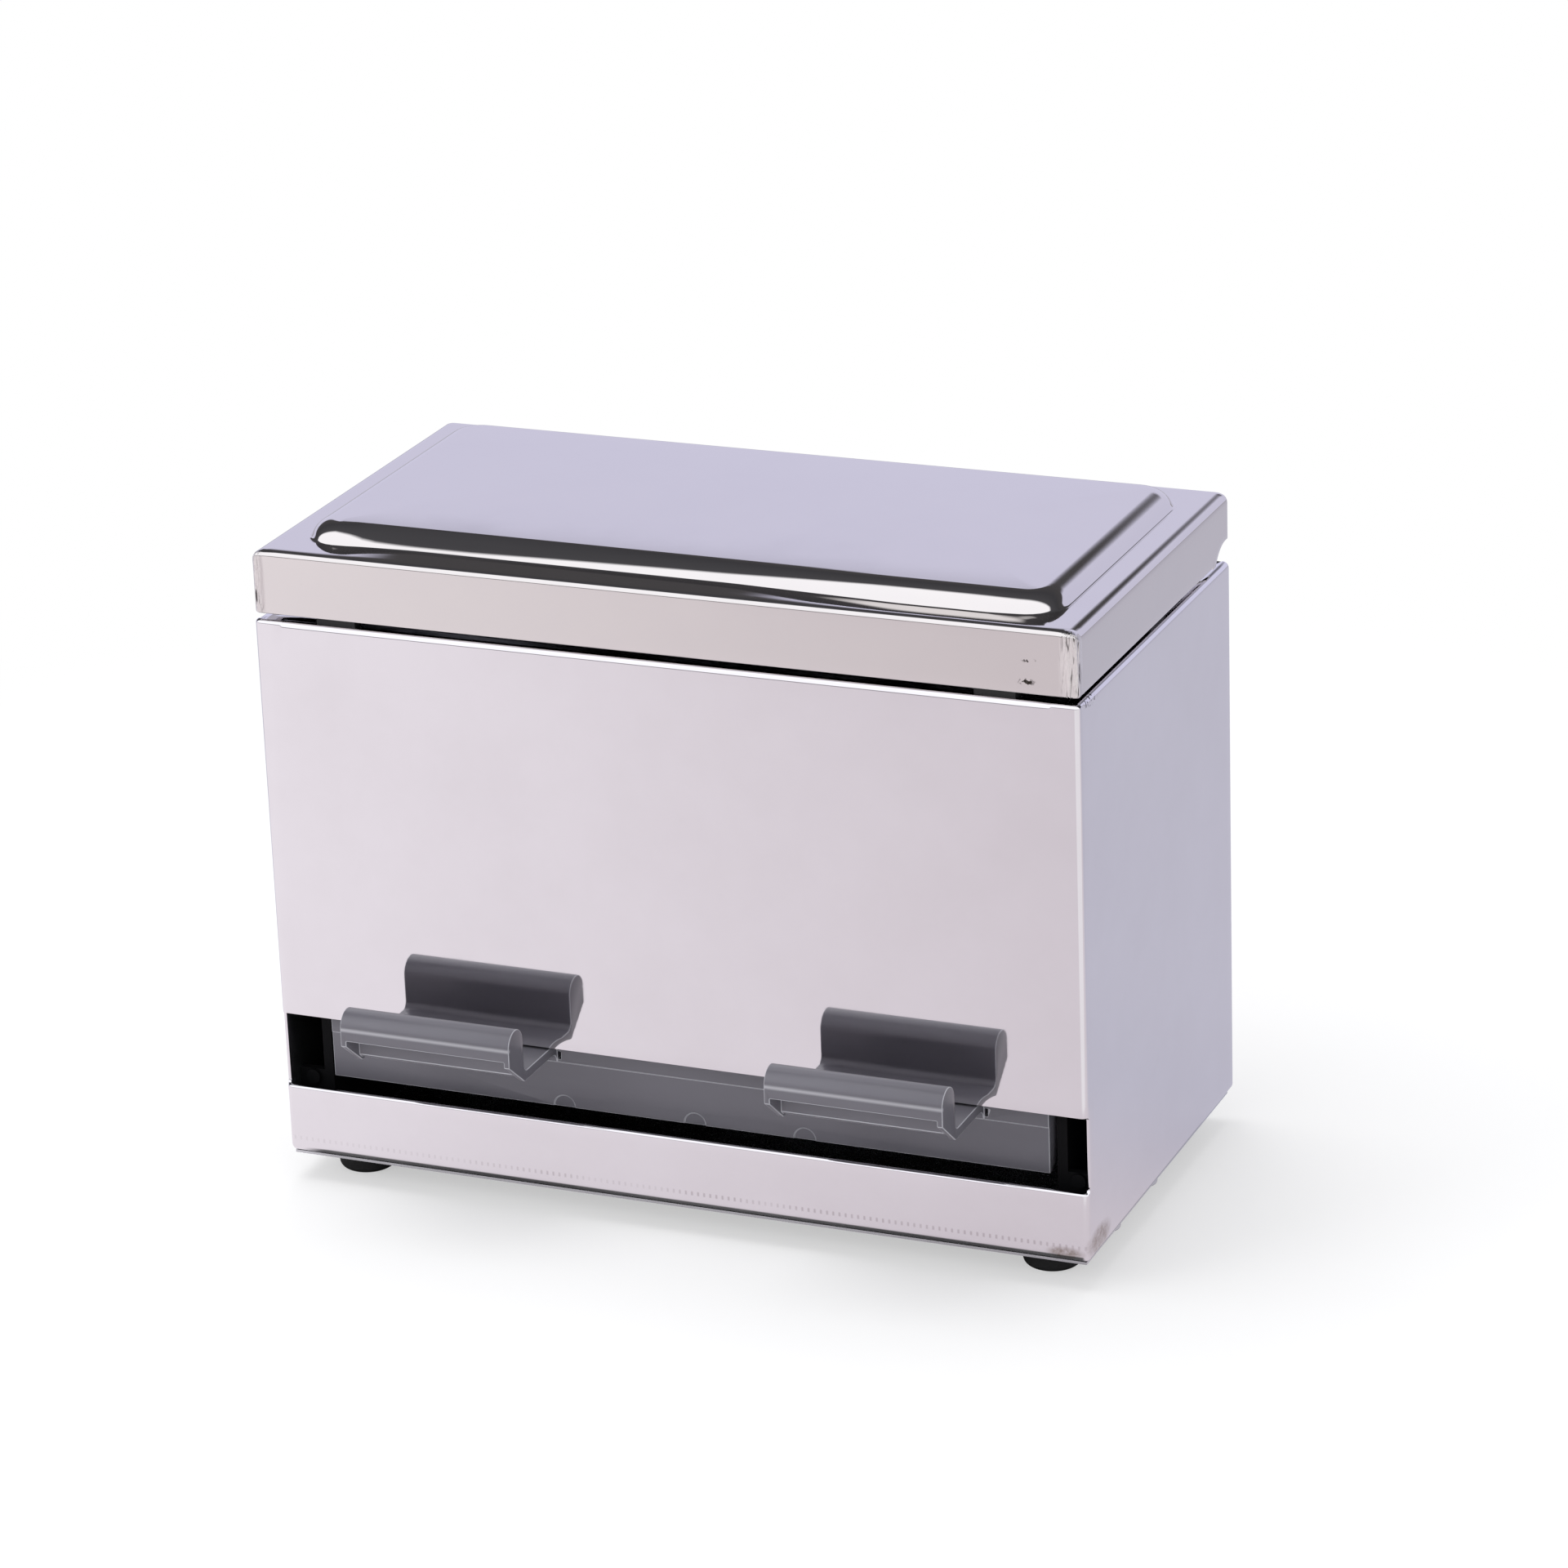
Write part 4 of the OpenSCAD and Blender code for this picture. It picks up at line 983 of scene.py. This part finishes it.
@dataclass
class Studio:
    """Camera at the photograph's angle, pale floor, soft light and what metal reflects."""

    lens: float = 133.2789
    eye: tuple[float, float, float] = (0.62726, -1.43505, 0.71099)
    right: tuple[float, float, float] = (0.92433994, 0.38004662, -0.0340623)
    up: tuple[float, float, float] = (-0.10498785, 0.33913722, 0.93486015)
    behind: tuple[float, float, float] = (0.36684224, -0.86055245, 0.35337835)
    floor_reach: float = 6.0

    def camera(self) -> None:
        """Place the photograph's camera, as worked out from the box's edges."""
        data = bpy.data.cameras.new("camera")
        data.lens = self.lens
        data.sensor_width = 36.0
        data.sensor_fit = "HORIZONTAL"
        data.clip_start, data.clip_end = 0.05, 50.0
        obj = new_object("camera", data)
        turn = Matrix((self.right, self.up, self.behind)).transposed().to_4x4()
        obj.matrix_world = Matrix.Translation(Vector(self.eye)) @ turn
        bpy.context.scene.camera = obj

    def lamp(
        self, name: str, place: Sequence[float], size: Sequence[float], watts: float
    ) -> None:
        """Hang a white soft box, seen by no reflection, that aims at the middle of the object."""
        data = bpy.data.lights.new(name, "AREA")
        data.shape = "RECTANGLE"
        data.size, data.size_y = size
        data.energy = watts
        obj = new_object(name, data)
        aim = Vector((0.0, 0.0, 0.1)) - Vector(place)
        turn = aim.to_track_quat("-Z", "Y").to_matrix().to_4x4()
        obj.matrix_world = Matrix.Translation(Vector(place)) @ turn
        obj.visible_glossy = False

    def world(self) -> None:
        """Make a world white to the eye, soft as light, and a studio with dark gaps to metal."""
        world = bpy.data.worlds.new("studio")
        bpy.context.scene.world = world
        world.use_nodes = True
        tree = world.node_tree
        tree.nodes.clear()
        way = add_node(tree, "TexCoord").outputs["Generated"]
        parts = add_node(tree, "SeparateXYZ", {0: way})
        # angle over the object, in half turns: 0 front horizon, 0.5 ceiling, 1 rear horizon
        ahead = add_node(tree, "Math", {0: parts.outputs["Y"], 1: -1.0}, operation="MULTIPLY")
        over = add_node(tree, "Math", {0: parts.outputs["Z"], 1: ahead}, operation="ARCTAN2")
        share = add_node(tree, "Math", {0: over, 1: math.pi}, operation="DIVIDE")
        seen = add_node(tree, "ValToRGB", {0: share})
        set_ramp(seen, SKY)
        path = add_node(tree, "LightPath")
        plain = add_node(tree, "Background", {"Color": linear("#F4F4F8"), "Strength": 0.62})
        mirrored = add_node(tree, "Background", {"Color": seen, "Strength": 1.0})
        white = add_node(tree, "Background", {"Color": WHITE, "Strength": 1.0})
        glossy = add_node(
            tree, "MixShader", {0: path.outputs["Is Glossy Ray"], 1: plain, 2: mirrored}
        )
        straight = add_node(
            tree,
            "Math",
            {0: path.outputs["Is Camera Ray"], 1: path.outputs["Is Transmission Ray"]},
            operation="MAXIMUM",
        )
        both = add_node(tree, "MixShader", {0: straight, 1: glossy, 2: white})
        add_node(tree, "OutputWorld", {"Surface": both})

    def area(
        self, tree: bpy.types.NodeTree, parts: Sequence[Any], limits: Sequence[Sequence[float]]
    ) -> bpy.types.Node:
        """Make a factor of 1 where both parts of the place are past their limits.

        Args:
            tree: Node tree that takes it.
            parts: Sockets or nodes that give the parts.
            limits: For each part, where its share starts and where it is full.

        Returns:
            The node that gives the factor.
        """
        shares = {}
        for number, (start, full) in enumerate(limits):
            inputs = {0: parts[number], 1: start, 2: full, 3: 0.0, 4: 1.0}
            shares[number] = add_node(tree, "MapRange", inputs, **EASED)
        return add_node(tree, "Math", shares, operation="MULTIPLY")

    def painted_floor_light(self, tree: bpy.types.NodeTree, place: Any) -> bpy.types.Node:
        """Paint light and shade on the floor's glow, which only the metal that mirrors it sees."""
        split = add_node(tree, "SeparateXYZ", {0: place})
        parts = [split.outputs["X"], split.outputs["Y"]]
        # painted shade, darker to the right, across the lines that the front and side panels
        # mirror, so each panel is even
        across = add_node(
            tree, "VectorMath", {0: place, 1: (0.919, -0.395, 0.0)}, operation="DOT_PRODUCT"
        )
        lane = add_node(tree, "MapRange", {0: across, 1: -0.14, 2: 0.14, 3: 0.0, 4: 1.0})
        tint = add_node(
            tree, "Mix", {"Factor": lane, 6: PAINTED_FLOOR_LIGHT_LEFT, 7: PAINTED_FLOOR_SHADE_RIGHT}, data_type="RGBA"
        )
        # painted shade: a darker, bluer floor behind the front, which the side panel mirrors
        inputs = {0: parts[1], 1: -0.06, 2: 0.10, 3: 0.0, 4: 1.0}
        rearward = add_node(tree, "MapRange", inputs, **EASED)
        # painted highlight: a lit patch to the front right, which only the upright fold at that
        # corner mirrors
        glint = self.area(tree, parts, ((0.12, 0.19), (-0.07, -0.14)))
        # painted shadow under the box, which the lower folds mirror as a dark gap
        sizes = [add_node(tree, "Math", {0: part}, operation="ABSOLUTE") for part in parts]
        shade = self.area(tree, sizes, ((0.127, 0.119), (0.070, 0.060)))
        for factor, over in ((rearward, PAINTED_FLOOR_SHADE_REAR), (glint, PAINTED_FLOOR_GLINT), (shade, PAINTED_FLOOR_SHADOW)):
            tint = add_node(tree, "Mix", {"Factor": factor, 6: tint, 7: over}, data_type="RGBA")
        return tint

    def floor(self) -> None:
        """Lay a wide pale floor: white to the eye, with painted light and shade where metal mirrors
        it.
        """
        mesh = bpy.data.meshes.new("floor")
        far = self.floor_reach
        mesh.from_pydata(
            [(-far, -far, 0), (far, -far, 0), (far, far, 0), (-far, far, 0)], [], [(0, 1, 2, 3)]
        )
        obj = new_object("floor", mesh)
        material, tree = new_material("pale_floor")
        place = add_node(tree, "TexCoord").outputs["Object"]
        tint = self.painted_floor_light(tree, place)
        # to the eye the floor is plain white away from the object's shadow
        away = add_node(tree, "VectorMath", {0: place}, operation="LENGTH")
        bare = add_node(tree, "MapRange", {0: away, 1: 0.22, 2: 0.55, 3: 0.5, 4: 1.0}, **EASED)
        path = add_node(tree, "LightPath")
        matt = add_node(tree, "BsdfDiffuse", {"Color": (0.93, 0.93, 0.93, 1.0), "Roughness": 0.0})
        # for glossy rays the floor glows with its painted light and shade, mixed with some of the
        # lit matt floor
        painted_glow = add_node(tree, "Emission", {"Color": tint, "Strength": 1.0})
        seen = add_node(tree, "Emission", {"Color": WHITE, "Strength": 1.0})
        mirrored = add_node(tree, "MixShader", {0: 0.85, 1: matt, 2: painted_glow})
        eye = add_node(tree, "MixShader", {0: bare, 1: matt, 2: seen})
        first = add_node(
            tree, "MixShader", {0: path.outputs["Is Glossy Ray"], 1: matt, 2: mirrored}
        )
        last = add_node(tree, "MixShader", {0: path.outputs["Is Camera Ray"], 1: first, 2: eye})
        add_node(tree, "OutputMaterial", {"Surface": last})
        dress(obj, material)

    def build(self) -> None:
        """Set up the whole studio."""
        self.camera()
        self.world()
        self.floor()
        self.lamp("overhead", (-0.25, 0.10, 1.45), (1.3, 1.0), 15.0)
        self.lamp("front_left", (-1.25, -1.35, 0.95), (1.0, 0.9), 12.0)
        self.lamp("front_right", (1.5, -1.1, 0.9), (0.8, 0.8), 3.0)
        bpy.context.scene.view_settings.view_transform = "Standard"


# ---------------------------------------------------------------- whole object


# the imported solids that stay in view, under the finish that they wear
WORN_BY = {
    "rear": ("rear_panel",),
    "plain": ("base_panel", "hopper_ramp", "hinge_rim_leaf", "hinge_lid_leaf"),
    "turned": (
        "hinge_pin",
        "rim_leaf_rivets",
        "lid_leaf_rivets",
        "lever_axle",
        "bracket_screws",
        "foot_screws",
        "foot_nuts",
    ),
    "wire": ("axle_clips",),
    "nylon": ("axle_bushes",),
    "black": ("left_bracket", "right_bracket"),
    "rubber": ("stop_sleeves", "lid_bumpers", "rubber_feet"),
}


@dataclass
class Dispenser:
    """The whole object: its finishes and the pieces that carry them."""

    frame: dict[str, Any]
    finishes: dict[str, bpy.types.Material] = field(default_factory=dict)

    def make_finishes(self) -> None:
        """Build every finish once."""
        made = {
            "body": PolishedStainless(
                "polished_body_sheet",
                heat=(
                    Mark((125.0, 9.0, 4.5), (3.0, 11.0, 5.0)),
                    Mark((118.0, 0.0, 2.6), (7.0, 2.0, 2.4)),
                ),
                scuffs=(Mark((125.0, 9.0, 165.0), (3.0, 7.0, 2.0)),),
                weld_line_z=4.6,
            ),
            "lid": PolishedStainless(
                "polished_lid_sheet",
                colour="#DAD6D3",
                scuffs=(
                    Mark((109.7, 0.3, 171.4), (3.2, 1.5, 1.3)),
                    Mark((110.5, 0.3, 177.6), (2.6, 1.5, 0.9)),
                    Mark((-109.5, 0.3, 178.0), (1.0, 1.5, 1.0)),
                ),
                seams=(
                    Mark((124.6, 0.3, 176.5), (6.0, 3.5, 30.0)),
                    Mark((-124.6, 0.3, 176.5), (4.0, 3.5, 30.0)),
                ),
            ),
            "rear": PolishedStainless("polished_rear_sheet", roughness=0.12),
            "plain": PlainMetal("mill_finish_sheet", "#C6C8CA", 0.28),
            # the back of the sheet is unpolished and rougher, and its colour is darker as painted
            # shade, so the box's inside reads dark through its gaps
            "inside": PlainMetal("unpolished_back_of_sheet_painted_dark", "#8A8C8E", 0.42),
            "turned": PlainMetal("turned_steel", "#CBCDCF", 0.2, grain_mm=0.25),
            "wire": PlainMetal("drawn_spring_wire", "#9A9DA0", 0.3, grain_mm=0.3),
            # the hooks carry a painted highlight line along their faces
            "grey": Moulded("moulded_grey_abs", "#67666D", "#626067", 0.3, painted_highlight_z=53.5),
            # paler edge rounds of the rocker: a painted highlight
            "grey_painted_edge_highlight": Moulded("painted_highlight_mould_edge", "#B4B4BA", "#9C9CA2", 0.3),
            "black": Moulded("moulded_black_abs", "#08080A", "#060607", 0.7, specular=0.15),
            "rubber": Moulded(
                "black_nitrile_rubber", "#252525", "#1E1E1E", 0.62, 0.5, 0.00004, 0.35
            ),
            "nylon": Moulded("natural_nylon", "#E9E4D6", "#DFD9C8", 0.45),
        }
        self.finishes = {name: finish.build() for name, finish in made.items()}

    def dress_nodes(self) -> None:
        """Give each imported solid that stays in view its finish."""
        for finish, nodes in WORN_BY.items():
            for node in nodes:
                dress(self.frame["nodes"][node], self.finishes[finish])
                LOG.info("%s: %s", node, finish)

    def build(self) -> None:
        """Build every piece of the visual model."""
        self.make_finishes()
        self.dress_nodes()
        made = [
            PressedLid().build(self.finishes["lid"], self.finishes["inside"]),
            FoldedBody().build(self.finishes["body"], self.finishes["inside"]),
        ]
        rocker = SoftEdges("lever_rocker", "moulded_rocker", Body.LEVER, Slot.GREY, 0.22)
        made.append(rocker.build(self.frame, self.finishes["grey"], self.finishes["grey_painted_edge_highlight"]))
        for side in ("left", "right"):
            spring = ReturnSpring(f"{side}_return_spring", f"wound_{side}_spring")
            made.append(spring.build(self.frame, self.finishes["wire"]))
        for obj in made:
            LOG.info("%s: %d faces", obj.name, len(obj.data.polygons))


def main() -> None:
    """Load the frame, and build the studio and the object."""
    logging.basicConfig(level=logging.INFO, format="%(message)s")
    for old in list(bpy.data.objects):
        bpy.data.objects.remove(old)
    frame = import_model()
    Studio().build()
    Dispenser(frame).build()


if __name__ == "__main__":
    main()
